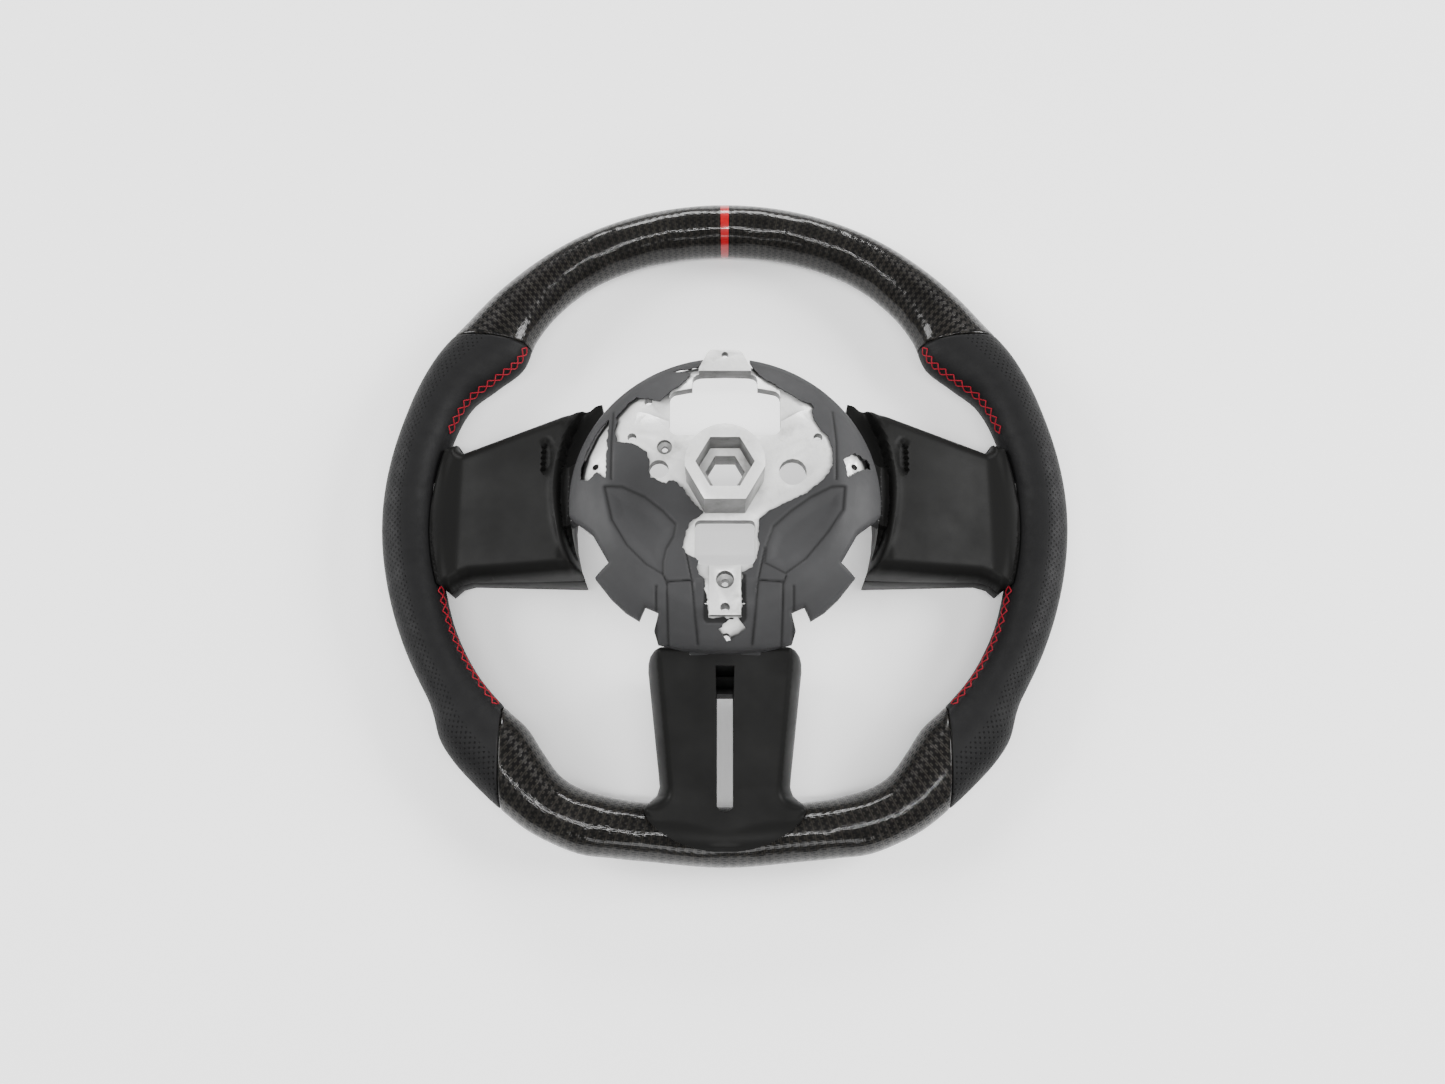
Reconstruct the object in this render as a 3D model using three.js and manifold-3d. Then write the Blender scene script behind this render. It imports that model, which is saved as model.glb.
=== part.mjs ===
// Bare steering wheel: a die-cast hub armature with a stepped hexagonal socket, a moulded skin over it,
// three spokes in clipped covers, and a rim of carbon shells and stitched leather grips over foam.
// Millimetres. X runs to the wheel's right, Y towards 12 o'clock, Z along the steering axis towards the
// column. The wheel lies on the driver's face of its rim at Z = 0, with the steering axis on X = Y = 0.
import * as THREE from "three";
import { mergeVertices } from "three/addons/utils/BufferGeometryUtils.js";
import Module from "manifold-3d";

// ---- driving dimensions -------------------------------------------------------------------------
const GAP = 0.3; // clearance between neighbouring pieces

const WHEEL_WIDTH = 360.8; // over the rim at 3 and 9 o'clock
const RIM_HALF_DEPTH = 16; // half the rim's thickness along the steering axis
const RIM_SIDES = 12;
const RIM_STEPS = 64;
// Degrees from 12 o'clock, outer radius and inner radius: waist at the carbon joint, thumb rest at 53,
// squared lower corner at 149, flattened bottom. Both halves of the rim use the same stations, which
// move in or out together when the wheel's width changes.
const RIM_STATIONS = [
  [0, 179.8, 151.6], [26, 179.4, 151.7], [38, 178.4, 148], [46, 178, 143.2], [53, 178, 137.2],
  [60, 179.9, 142], [66, 180, 148.6], [74, 179.6, 151], [90, 180.4, 151.4], [106, 179.8, 151],
  [114, 179.8, 152.3], [123, 180.4, 152.9], [126, 182.2, 152.8], [130, 187, 152.3],
  [134, 188.7, 151.7], [139, 189.4, 151.4], [144, 190.3, 155.5], [149, 191.4, 160.2],
  [153, 191.1, 161], [158, 189.9, 159.2], [163, 186.2, 157], [170, 183, 154], [180, 182.5, 153],
];
const RING_RADIUS = 5; // round steel ring inside the foam
const RING_SIDES = 6;
const CARBON_WALL = 1.6;
const LEATHER_WALL = 1.4;
const STRIPE_WIDTH = 4.6;
const STRIPE_DEPTH = 0.6;
const TOP_JOINT_Y = 91.5; // height of the upper carbon joints at 100 mm from the centre line
const TOP_JOINT_SLOPE = 0.158;
const LOWER_JOINT_X = 111.6; // distance of the lower carbon joints from the centre line
const STITCH_WIDTH = 5;
const STITCH_HEIGHT = 0.9;
const SEAM_DEGREES = 153; // round the section from the outside of the rim

const DISC_Y = -8; // centre of the round hub disc
const DISC_RADIUS = 77.5;
const DISC_FLAT_RADIUS = 56; // the disc is flat inside this radius and domed outside it
const DISC_EDGE_DROP = 17; // how far the disc's edge lies below its flat
const PLATE_TOP = 75;
const PLATE_THICKNESS = 6;
const SKIN_THICKNESS = 1.1;
const SKIN_EDGE = 5; // width of the skin beyond the casting's edge
const SKIN_LIP = 4; // height of the skin's outer edge
const HOLLOW_DEPTH = 2.4; // the two leaf-shaped hollows, below the flat of the skin
const STEP_DEPTH = 2.2; // the casting's upper corners, below its flat
const SKIRT_BOTTOM = PLATE_TOP - 29; // the skin comes down to here where the side spokes meet it
const SKIRT_RIGHT_FROM = 30; // the skirt runs along the disc's edge outside this distance from the
const SKIRT_LOW = -14; // centre line, between these two heights
const SKIRT_HIGH = 40;

const BOSS_HEIGHT = 23;
const BOSS_RADIUS = 19;
const BOSS_FLAT = 18.5; // distance of the boss's lowest flat from the steering axis
const BOSS_SHOULDER = 2.4; // the boss is round above this distance below the axis
const SOCKET_ACROSS_FLATS = 24.3;
const SOCKET_STEP_DEPTH = 16;
const SOCKET_INNER_ACROSS_FLATS = 16.6;

const UPPER_WINDOW = {
  halfWidth: 27.4, low: 21.7, shoulder: 45.5, neckHalfWidth: 16.2, high: 55.8, corner: 4,
};
const LOWER_WINDOW = { halfWidth: 14.5, low: -44, high: -22, corner: 2.5 };
const TOP_TAB = { halfWidth: 7, baseHalfWidth: 13, base: 46, shoulder: 57, high: 67.2 };
const PAD = { halfWidth: 7.5, low: -69, high: -44.6, rise: 1.6, channel: 2.4 };

const ARM_WIDTH = 28; // side arms
const LEG_WIDTH = 9; // the two legs of the lower arm
const LEG_OFFSET = 12.5;
const ARM_SOCKET_HALF_HEIGHT = 7; // block round the ring at each arm's end
const ARM_SOCKET_HALF_LENGTH = 9.3;

const COVER_WALL = 2.5;
const COVER_TO_DISC = 0.9; // gap between the disc's edge and the spoke covers
const SIDE_COVER_TOP = PLATE_TOP - 26; // at the hub end
const SIDE_COVER_RIM_TOP = 2 * RIM_HALF_DEPTH - 3.6; // at the rim end
const LOWER_COVER_TOP = PLATE_TOP - 23;
const LOWER_COVER_RIM_TOP = 2 * RIM_HALF_DEPTH + 2.6;
const PARTING_REACH = 75; // the line between cover and trim is PARTING_HUB high at this reach, and
const PARTING_HUB = 25; // PARTING_RIM high where the side spokes meet the rim
const PARTING_RIM = 15;
const TRIM_FACE = 7;
const TRIM_SEAT = 4; // thickness of the trim under a screw's head
const SLOT_HALF_WIDTH = 4;
const SLOT_HIGH = -97.5;
const SLOT_TO_RIM = 10.75; // the slot ends this far short of the middle of the lower rim
const SCREW_RADIUS = 1.6;
const SCREW_HEAD_RADIUS = 3.2;
const SCREW_HEAD_HEIGHT = 1.8;
const SCREW_BOSS_RADIUS = 3.6;
const SCREW_LENGTH = 16;
const SCREW_POINT = 2;

// Distances beyond the part, used where a cut has to run right through it.
const FAR = 220;
const BELOW = -5;
const ABOVE = PLATE_TOP + BOSS_HEIGHT + 5;
const DISC_BAND_LOW = PLATE_TOP - 45; // the disc and its skin lie above this height

// ---- solids from three.js geometry ---------------------------------------------------------------
const wasm = await Module();
wasm.setup();

function toSolid(geometry) {
  const bare = geometry.clone();
  bare.deleteAttribute("normal");
  bare.deleteAttribute("uv");
  const merged = mergeVertices(bare, 1e-4);
  return new wasm.Manifold(
    new wasm.Mesh({
      numProp: 3,
      vertProperties: new Float32Array(merged.attributes.position.array),
      triVerts: new Uint32Array(merged.index.array),
    }),
  );
}

function toGeometry(solid) {
  const mesh = solid.getMesh();
  const geometry = new THREE.BufferGeometry();
  geometry.setAttribute("position", new THREE.BufferAttribute(mesh.vertProperties.slice(), 3));
  geometry.setIndex(new THREE.BufferAttribute(mesh.triVerts.slice(), 1));
  geometry.computeVertexNormals();
  return geometry;
}

const joined = (solids) => solids.reduce((all, one) => all.add(one));
const cutBy = (solid, tools) => tools.reduce((left, tool) => left.subtract(tool), solid);
const mirrored = (points) => points.map(([x, y]) => [-x, y]).reverse();
const mirrorX = (solid) => solid.mirror([1, 0, 0]);

const shapeOf = (points) => new THREE.Shape(points.map(([x, y]) => new THREE.Vector2(x, y)));

// A flat outline pulled straight up from one height to another.
function prism(outline, low, high) {
  const shape = Array.isArray(outline) ? shapeOf(outline) : outline;
  const geometry = new THREE.ExtrudeGeometry(shape, {
    depth: high - low,
    bevelEnabled: false,
    curveSegments: 6,
  });
  return toSolid(geometry.translate(0, 0, low));
}

// A side view, given as reach and height, made as wide as asked along Y.
function sideways(profile, width) {
  const geometry = new THREE.ExtrudeGeometry(shapeOf(profile), { depth: width, bevelEnabled: false });
  return toSolid(geometry.rotateX(Math.PI / 2).translate(0, width / 2, 0));
}

function block(x0, x1, y0, y1, z0, z1) {
  const geometry = new THREE.BoxGeometry(x1 - x0, y1 - y0, z1 - z0);
  return toSolid(geometry.translate((x0 + x1) / 2, (y0 + y1) / 2, (z0 + z1) / 2));
}

function upright(x, y, radius, low, high, sides = radius < 3 ? 10 : 16) {
  const geometry = new THREE.CylinderGeometry(radius, radius, high - low, sides);
  return toSolid(geometry.rotateX(Math.PI / 2).translate(x, y, (low + high) / 2));
}

// Moves each side of an outline outwards along its own normal and joins the sides again.
function grown(points, distance) {
  const count = points.length;
  const area = points.reduce((sum, [x, y], i) => {
    const [nextX, nextY] = points[(i + 1) % count];
    return sum + x * nextY - nextX * y;
  }, 0);
  const outward = Math.sign(area);
  const normalOf = ([x0, y0], [x1, y1]) => {
    const length = Math.hypot(x1 - x0, y1 - y0);
    return [(outward * (y1 - y0)) / length, (-outward * (x1 - x0)) / length];
  };
  return points.map(([x, y], i) => {
    const before = normalOf(points[(i + count - 1) % count], points[i]);
    const after = normalOf(points[i], points[(i + 1) % count]);
    const spread = 1 + before[0] * after[0] + before[1] * after[1];
    const step = distance / spread;
    return [x + step * (before[0] + after[0]), y + step * (before[1] + after[1])];
  });
}

function arcPoints(centreX, centreY, radius, from, to, steps) {
  return Array.from({ length: steps + 1 }, (_, i) => {
    const angle = THREE.MathUtils.degToRad(from + ((to - from) * i) / steps);
    return [centreX + radius * Math.cos(angle), centreY + radius * Math.sin(angle)];
  });
}

// ---- the rim's form --------------------------------------------------------------------------------
// A cubic through the stations, level at 12 and 6 o'clock, so that the two halves meet smoothly.
function rimRadius(degrees, column) {
  const last = RIM_STATIONS.length - 1;
  const slopeAt = (k) => {
    if (k === 0 || k === last) return 0;
    const [before, after] = [RIM_STATIONS[k - 1], RIM_STATIONS[k + 1]];
    return (after[column] - before[column]) / (after[0] - before[0]);
  };
  let k = 0;
  while (k < last - 1 && degrees > RIM_STATIONS[k + 1][0]) k += 1;
  const [low, high] = [RIM_STATIONS[k], RIM_STATIONS[k + 1]];
  const span = high[0] - low[0];
  const t = (degrees - low[0]) / span;
  const t2 = t * t;
  const t3 = t2 * t;
  return (
    low[column] * (2 * t3 - 3 * t2 + 1) +
    high[column] * (3 * t2 - 2 * t3) +
    span * (slopeAt(k) * (t3 - 2 * t2 + t) + slopeAt(k + 1) * (t3 - t2))
  );
}

const rimShift = WHEEL_WIDTH / 2 - rimRadius(90, 1);

function rimSection(x, y) {
  const degrees = Math.abs(THREE.MathUtils.radToDeg(Math.atan2(x, y)));
  const outer = rimRadius(degrees, 1) + rimShift;
  const inner = rimRadius(degrees, 2) + rimShift;
  return { centre: (outer + inner) / 2, half: (outer - inner) / 2 };
}

// A torus whose round sections are stretched to the rim's own half width and half depth.
function rimSolid(sides, halfSizes) {
  const geometry = new THREE.TorusGeometry(2, 1, sides, RIM_STEPS);
  const position = geometry.getAttribute("position");
  for (let i = 0; i < position.count; i += 1) {
    const [x, y, z] = [position.getX(i), position.getY(i), position.getZ(i)];
    const radius = Math.hypot(x, y);
    const section = rimSection(x, y);
    const [halfWidth, halfDepth] = halfSizes(section);
    const reach = section.centre + (radius - 2) * halfWidth;
    position.setXYZ(i, (x / radius) * reach, (y / radius) * reach, RIM_HALF_DEPTH + z * halfDepth);
  }
  return toSolid(geometry);
}

const rimBody = (inset) => rimSolid(RIM_SIDES, ({ half }) => [half - inset, RIM_HALF_DEPTH - inset]);
const ringBody = (radius) => rimSolid(RING_SIDES, () => [radius, radius]);
const sideRimAt = rimSection(1, 0).centre;
const lowRimAt = rimSection(0, -1).centre;

// Plan areas that part the rim into its four sleeves, each half the gap back from the joint.
const topJointAt = (x, shift) => TOP_JOINT_Y + shift + TOP_JOINT_SLOPE * (x - 100);
const topArea = [
  [FAR, FAR], [-FAR, FAR], [-FAR, topJointAt(FAR, GAP / 2)], [-80, topJointAt(80, GAP / 2)],
  [80, topJointAt(80, GAP / 2)], [FAR, topJointAt(FAR, GAP / 2)],
];
const bottomArea = [
  [LOWER_JOINT_X - GAP / 2, -90], [-LOWER_JOINT_X + GAP / 2, -90],
  [-LOWER_JOINT_X + GAP / 2, -FAR], [LOWER_JOINT_X - GAP / 2, -FAR],
];
const rightArea = [
  [FAR, topJointAt(FAR, -GAP / 2)], [80, topJointAt(80, -GAP / 2)], [80, -70],
  [LOWER_JOINT_X + GAP / 2, -90], [LOWER_JOINT_X + GAP / 2, -FAR], [FAR, -FAR],
];
const through = (area) => prism(area, BELOW, ABOVE);

// ---- the hub's form --------------------------------------------------------------------------------
// Half the section of the disc: flat, then three chords down to its edge.
function domeProfile(radius, top, edgeDrop) {
  const flat = DISC_FLAT_RADIUS;
  const run = radius - flat;
  return [
    [flat, top], [flat + 0.46 * run, top - 0.26 * edgeDrop],
    [flat + 0.8 * run, top - 0.59 * edgeDrop], [radius, top - edgeDrop],
  ];
}

// A profile that starts off the axis is a ring's, and ends where it starts.
function turned(profile) {
  const closed = profile[0][0] > 0 ? [...profile, profile[0]] : profile;
  const points = closed.map(([r, z]) => new THREE.Vector2(r, z));
  return toSolid(new THREE.LatheGeometry(points, 40).rotateX(Math.PI / 2).translate(0, DISC_Y, 0));
}

const castRadius = DISC_RADIUS - SKIN_EDGE - GAP;
const castDrop = (DISC_EDGE_DROP * (castRadius - DISC_FLAT_RADIUS)) / (DISC_RADIUS - DISC_FLAT_RADIUS);
const castDome = domeProfile(castRadius, PLATE_TOP, castDrop);
const skinInner = domeProfile(castRadius + GAP, PLATE_TOP + GAP, castDrop);
const skinOuter = domeProfile(DISC_RADIUS, PLATE_TOP + GAP + SKIN_THICKNESS, DISC_EDGE_DROP);
const discEdge = skinOuter.at(-1)[1];
const lowered = (profile, drop) => profile.map(([r, z]) => [r, z - drop]).reverse();
const dish = turned([
  [0, PLATE_TOP - PLATE_THICKNESS], ...lowered(castDome, PLATE_THICKNESS).reverse(),
  ...castDome.slice().reverse(), [0, PLATE_TOP],
]);

// Outlines in plan, right half from the bottom round to the top, then mirrored.
const wholeOutline = (half) => [...half, ...mirrored(half)];
const skinOutline = wholeOutline([
  [12, -83], [32.4, -79], [34, -74], [31.6, -66.2], [38, -63.4], [41.2, -69], [53, -59.5], [63.2, -47.6],
  [55.9, -42], [64.2, -27.4], [73.6, -19], ...arcPoints(0, DISC_Y, DISC_RADIUS + 1, -4, 82, 12),
]);
const castOutline = wholeOutline([
  [26, -79.5], [29, -64], [37, -59], [41, -63], [55, -47.5], [50, -42], [60, -27],
  ...arcPoints(0, DISC_Y, castRadius + 1, -8, 80, 12),
]);

// The region where the moulding left the alloy bare, clockwise from the upper left.
const BARE_AREA = [
  [-26.6, 58.2], [-12.6, 60.4], [-8, 70], [8, 70], [12.6, 61.4], [18.6, 53.2], [25.4, 48.4], [31, 44.6],
  [37.4, 40.4], [43.4, 38.8], [43.4, 31.4], [46.6, 25], [50.8, 20.6], [53, 13.6], [52.6, 6], [48.6, -1.2],
  [40, -8], [21.4, -17.6], [16.6, -21.4], [15.6, -30.4], [16.6, -34.4], [15.2, -41], [14, -45.6],
  [9.9, -48], [9.9, -71.4], [-9.9, -71.4], [-9.9, -50], [-11.6, -45], [-12.4, -42.4], [-17, -39.8],
  [-20.6, -36.4], [-19.4, -31.6], [-17, -23], [-12.6, -20.6], [-10, -17.8], [-16.6, -12], [-20, -6.6],
  [-24.6, -2], [-29.2, -3.2], [-36.2, -0.6], [-36.6, 6], [-38, 12.4], [-44, 16.2], [-52.6, 18.4],
  [-54.4, 23.6], [-53.6, 33.6], [-48.4, 39.8], [-44, 43.6], [-37, 41], [-32, 39.6], [-27.4, 44.4],
  [-21, 49.6], [-16.6, 56.2],
];
const BARE_PATCHES = [
  [
    [-57.6, 33], [-64, 24.6], [-68.4, 16.4], [-71, 6], [-71, 1], [-67.4, -0.4], [-62.6, 3.4],
    [-58.2, -0.6],
  ],
  [[58.6, 9.6], [64, 13.8], [71.2, 11.4], [71.6, 6.8], [67, 5.6], [59.8, -0.2]],
  [[-3, -74.6], [5.2, -68.4], [10.6, -74.2], [1.2, -80.4]],
];

// Leaf-shaped hollows in the skin, and the lower step in the casting's two upper corners.
const LEAF_HOLLOWS = [
  [
    [58.2, -5], [51.7, -5.4], [41.6, -10.6], [31.4, -18], [23.2, -25.6], [20, -34.1], [19, -43.4],
    [28.9, -48.6], [38.4, -41.6], [49.1, -28.6], [57, -16.6],
  ],
  [
    [-58.4, -5], [-49.8, -5.4], [-38.8, -10.6], [-30, -17.6], [-23.6, -24.6], [-24.6, -30],
    [-28, -36.2], [-29.4, -42.7], [-29.4, -49.2], [-37.5, -44.2], [-47, -34.6], [-54.4, -22.1],
  ],
];
const UPPER_STEPS = [
  [[27.4, 28.7], [36.3, 33.8], [42.8, 36.7], [51, 37.6], [62, 44], [44, 64], [27.4, 70]],
  [[-27.4, 28.7], [-37.5, 32.7], [-46.2, 36.1], [-52, 35.4], [-62, 44], [-44, 64], [-27.4, 70]],
];

function windowOutline() {
  const { halfWidth, low, shoulder, neckHalfWidth, high, corner } = UPPER_WINDOW;
  const half = [
    ...arcPoints(halfWidth - corner, low + corner, corner, -90, 0, 3),
    ...arcPoints(halfWidth - corner, shoulder - corner, corner, 0, 90, 3),
    [neckHalfWidth, shoulder + 1],
    ...arcPoints(neckHalfWidth - corner, high - corner, corner, 0, 90, 3),
  ];
  return wholeOutline(half);
}

function lowerWindowOutline() {
  const { halfWidth, low, high, corner } = LOWER_WINDOW;
  return wholeOutline([
    ...arcPoints(halfWidth - corner, low + corner, corner, -90, 0, 3),
    ...arcPoints(halfWidth - corner, high - corner, corner, 0, 90, 3),
  ]);
}

const tabOutline = wholeOutline([
  [TOP_TAB.baseHalfWidth, TOP_TAB.base], [TOP_TAB.baseHalfWidth, TOP_TAB.shoulder],
  [TOP_TAB.halfWidth + 2, TOP_TAB.high - 2], [TOP_TAB.halfWidth, TOP_TAB.high],
]);
const padOutline = [
  [PAD.halfWidth, PAD.low], [PAD.halfWidth, PAD.high],
  [-PAD.halfWidth, PAD.high], [-PAD.halfWidth, PAD.low],
];

// Round above its shoulders, then two slanting flats and a level one below.
function bossOutline() {
  const flatEnd = BOSS_FLAT * Math.tan(Math.PI / 6) - 1;
  const start = THREE.MathUtils.radToDeg(Math.asin(-BOSS_SHOULDER / BOSS_RADIUS));
  const crown = arcPoints(0, 0, BOSS_RADIUS, start, 180 - start, 18);
  return [[-flatEnd, -BOSS_FLAT], [flatEnd, -BOSS_FLAT], ...crown];
}

// A hexagon with its corners to the left and right.
const hexagon = (acrossFlats) => arcPoints(0, 0, acrossFlats / Math.sqrt(3), 0, 300, 5);

// Round holes in the plate: centre, radius, and the wider seat cut to a depth round some of them.
const HOLES = [
  { x: 45.6, y: 20.4, radius: 2.3 },
  { x: -45.6, y: 20.4, radius: 2.3 },
  { x: 33, y: 2.6, radius: 6.8 },
  { x: -32.2, y: 4, radius: 4.8 },
  { x: 63.5, y: 6.6, radius: 1.7 },
  { x: -63.5, y: 6.6, radius: 1.7 },
  { x: -38, y: 40.2, radius: 2.1 },
  { x: 46, y: 38.4, radius: 2.1 },
  { x: 0, y: 64.2, radius: 1.8 },
  { x: 0, y: -65.4, radius: 2.4 },
  { x: 0.5, y: -78, radius: 2.1 },
  { x: 0, y: -51.8, radius: 2, seatRadius: 4.4, seatDepth: 5 },
  { x: -29.6, y: 15.4, radius: 1.6, seatRadius: 3.8, seatDepth: 3.4 },
];

function holeCutters() {
  const top = PLATE_TOP + PAD.rise + 2;
  return HOLES.flatMap(({ x, y, radius, seatRadius, seatDepth }) => {
    const bore = upright(x, y, radius, DISC_BAND_LOW, top);
    return seatRadius ? [bore, upright(x, y, seatRadius, PLATE_TOP - seatDepth, top)] : [bore];
  });
}

// ---- arms from the hub down to the ring ------------------------------------------------------------
const sideNeck = castRadius - 0.5;
const lowNeck = castRadius - DISC_Y - 1.5;

// Side view of an arm: from under the plate, over the neck, down to a block round the ring and back.
function armProfile(neck, rimAt) {
  const high = RIM_HALF_DEPTH + ARM_SOCKET_HALF_HEIGHT;
  const low = RIM_HALF_DEPTH - ARM_SOCKET_HALF_HEIGHT;
  return [
    [neck - 15, PLATE_TOP - 15], [neck - 2, PLATE_TOP - 33], [neck + 10, PLATE_TOP - 42],
    [rimAt - 16, low + 5], [rimAt - ARM_SOCKET_HALF_LENGTH, low], [rimAt + ARM_SOCKET_HALF_LENGTH, low],
    [rimAt + ARM_SOCKET_HALF_LENGTH, high], [rimAt - 14, high], [neck + 8, PLATE_TOP - 31],
    [neck - 1, PLATE_TOP - 17], [neck - 8, PLATE_TOP - 11], [neck - 20, PLATE_TOP - 8],
  ];
}

function arms(clearance) {
  const side = sideways(grown(armProfile(sideNeck, sideRimAt), clearance), ARM_WIDTH + 2 * clearance);
  const leg = sideways(grown(armProfile(lowNeck, lowRimAt), clearance), LEG_WIDTH + 2 * clearance);
  const legs = [-LEG_OFFSET, LEG_OFFSET].map((offset) =>
    leg.translate([0, offset, 0]).rotate([0, 0, -90]),
  );
  return joined([side, side.rotate([0, 0, 180]), ...legs]);
}

const roomForArms = arms(GAP);

// ---- hub pieces ------------------------------------------------------------------------------------
const hollowFloor = PLATE_TOP + GAP + SKIN_THICKNESS - HOLLOW_DEPTH;

function hubCasting() {
  const plate = dish.intersect(prism(castOutline, DISC_BAND_LOW, ABOVE));
  const tab = prism(tabOutline, PLATE_TOP - PLATE_THICKNESS + 1, PLATE_TOP);
  const pad = prism(padOutline, PLATE_TOP - 12, PLATE_TOP + PAD.rise);
  const boss = prism(bossOutline(), PLATE_TOP - PLATE_THICKNESS, PLATE_TOP + BOSS_HEIGHT);
  const face = PLATE_TOP + BOSS_HEIGHT;
  return cutBy(joined([plate, tab, pad, boss, arms(0)]), [
    prism(windowOutline(), DISC_BAND_LOW, ABOVE),
    prism(lowerWindowOutline(), DISC_BAND_LOW, ABOVE),
    prism(hexagon(SOCKET_ACROSS_FLATS), face - SOCKET_STEP_DEPTH, ABOVE),
    prism(hexagon(SOCKET_INNER_ACROSS_FLATS), DISC_BAND_LOW, face),
    ...UPPER_STEPS.map((step) => prism(step, PLATE_TOP - STEP_DEPTH, ABOVE)),
    ...LEAF_HOLLOWS.map((leaf) =>
      prism(grown(leaf, SKIN_THICKNESS + GAP), hollowFloor - SKIN_THICKNESS - GAP, ABOVE),
    ),
    ...holeCutters(),
    ringBody(RING_RADIUS + GAP),
  ]);
}

function hubSkin() {
  const lip = discEdge - SKIN_LIP;
  const shell = turned([
    [castRadius + GAP, lip], [DISC_RADIUS, lip], ...skinOuter.slice().reverse(), [0, skinOuter[0][1]],
    [0, skinInner[0][1]], ...skinInner,
  ]);
  const skirt = turned([
    [castRadius + GAP, SKIRT_BOTTOM], [DISC_RADIUS, SKIRT_BOTTOM], [DISC_RADIUS, lip + 1],
    [castRadius + GAP, lip + 1],
  ]);
  const sides = [-1, 1].map((side) => {
    const [x0, x1] = [side * SKIRT_RIGHT_FROM, side * FAR].sort((a, b) => a - b);
    return skirt.intersect(block(x0, x1, SKIRT_LOW, SKIRT_HIGH, BELOW, ABOVE));
  });
  const onDisc = (outline) => prism(outline, DISC_BAND_LOW, ABOVE);
  const cups = LEAF_HOLLOWS.map((leaf) =>
    prism(grown(leaf, SKIN_THICKNESS), hollowFloor - SKIN_THICKNESS, PLATE_TOP + GAP).add(
      prism(leaf, hollowFloor - SKIN_THICKNESS, PLATE_TOP + GAP + SKIN_THICKNESS / 2),
    ),
  );
  return cutBy(joined([shell.intersect(onDisc(skinOutline)), ...cups, ...sides]), [
    ...LEAF_HOLLOWS.map((leaf) => prism(leaf, hollowFloor, ABOVE)),
    onDisc(BARE_AREA),
    ...BARE_PATCHES.map((patch) => prism(patch, discEdge, ABOVE)),
    onDisc(grown(windowOutline(), GAP)),
    onDisc(grown(padOutline, PAD.channel)),
    onDisc(grown(tabOutline, GAP)),
    roomForArms,
  ]);
}

// ---- rim pieces ------------------------------------------------------------------------------------
const rimSurface = rimBody(0);
const carbonShell = rimSurface.subtract(rimBody(CARBON_WALL));
const leatherShell = rimSurface.subtract(rimBody(LEATHER_WALL));

function rimFoam() {
  const core = rimBody(Math.max(CARBON_WALL, LEATHER_WALL) + GAP);
  return cutBy(core, [ringBody(RING_RADIUS + GAP), roomForArms]);
}

const stripeBand = (width, inset) =>
  block(-width / 2, width / 2, 0, FAR, BELOW, ABOVE).intersect(rimSurface.subtract(rimBody(inset)));

function carbonTop() {
  const sleeve = carbonShell.intersect(through(topArea));
  return sleeve.subtract(stripeBand(STRIPE_WIDTH + 2 * GAP, STRIPE_DEPTH + GAP));
}

const carbonBottom = () => carbonShell.intersect(through(bottomArea)).subtract(roomForArms);
const leatherRight = () => leatherShell.intersect(through(rightArea)).subtract(roomForArms);

// A flat bar bent round the grip: along the rim, across the seam, and out from the leather.
function stitching(fromDegrees, toDegrees) {
  const geometry = new THREE.BoxGeometry(1, 1, 1, 12, 2, 1);
  const position = geometry.getAttribute("position");
  const seamAngle = THREE.MathUtils.degToRad(SEAM_DEGREES);
  for (let i = 0; i < position.count; i += 1) {
    const along = position.getX(i) + 0.5;
    const degrees = fromDegrees + (toDegrees - fromDegrees) * along;
    const theta = THREE.MathUtils.degToRad(degrees);
    const { centre, half } = rimSection(Math.sin(theta), Math.cos(theta));
    const out = GAP + (position.getZ(i) + 0.5) * STITCH_HEIGHT;
    const turn = seamAngle - (position.getY(i) * STITCH_WIDTH) / ((half + RIM_HALF_DEPTH) / 2);
    const reach = centre + (half + out) * Math.cos(turn);
    const height = RIM_HALF_DEPTH + (RIM_HALF_DEPTH + out) * Math.sin(turn);
    position.setXYZ(i, reach * Math.sin(theta), reach * Math.cos(theta), height);
  }
  return toSolid(geometry).subtract(rimBody(-GAP));
}

// ---- spoke covers and trims ------------------------------------------------------------------------
// Side spoke in plan: straight lower edge, bowed end on the grip, straight upper edge, edge along the
// disc. Each plan is given with the fillets where it meets the rim, and without them for the hollow.
const sideRimEnd = arcPoints(sideRimAt - 138, -4, 125.4, -16, 16, 6);
const sideHubEnd = [
  [73.8, 48.4], [63.6, 51.4],
  ...arcPoints(0, DISC_Y, DISC_RADIUS + COVER_TO_DISC, 37, -24, 8),
];
const sideCoverPlan = [
  [73.4, -40], [sideRimAt - 34.9, -38.6], [sideRimAt - 28.9, -40.4], [sideRimAt - 24.4, -44.6],
  ...sideRimEnd, [sideRimAt - 23.4, 37.4], [sideRimAt - 27.3, 31.8], ...sideHubEnd,
];
const sideHollowPlan = [...sideRimEnd, ...sideHubEnd];

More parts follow.
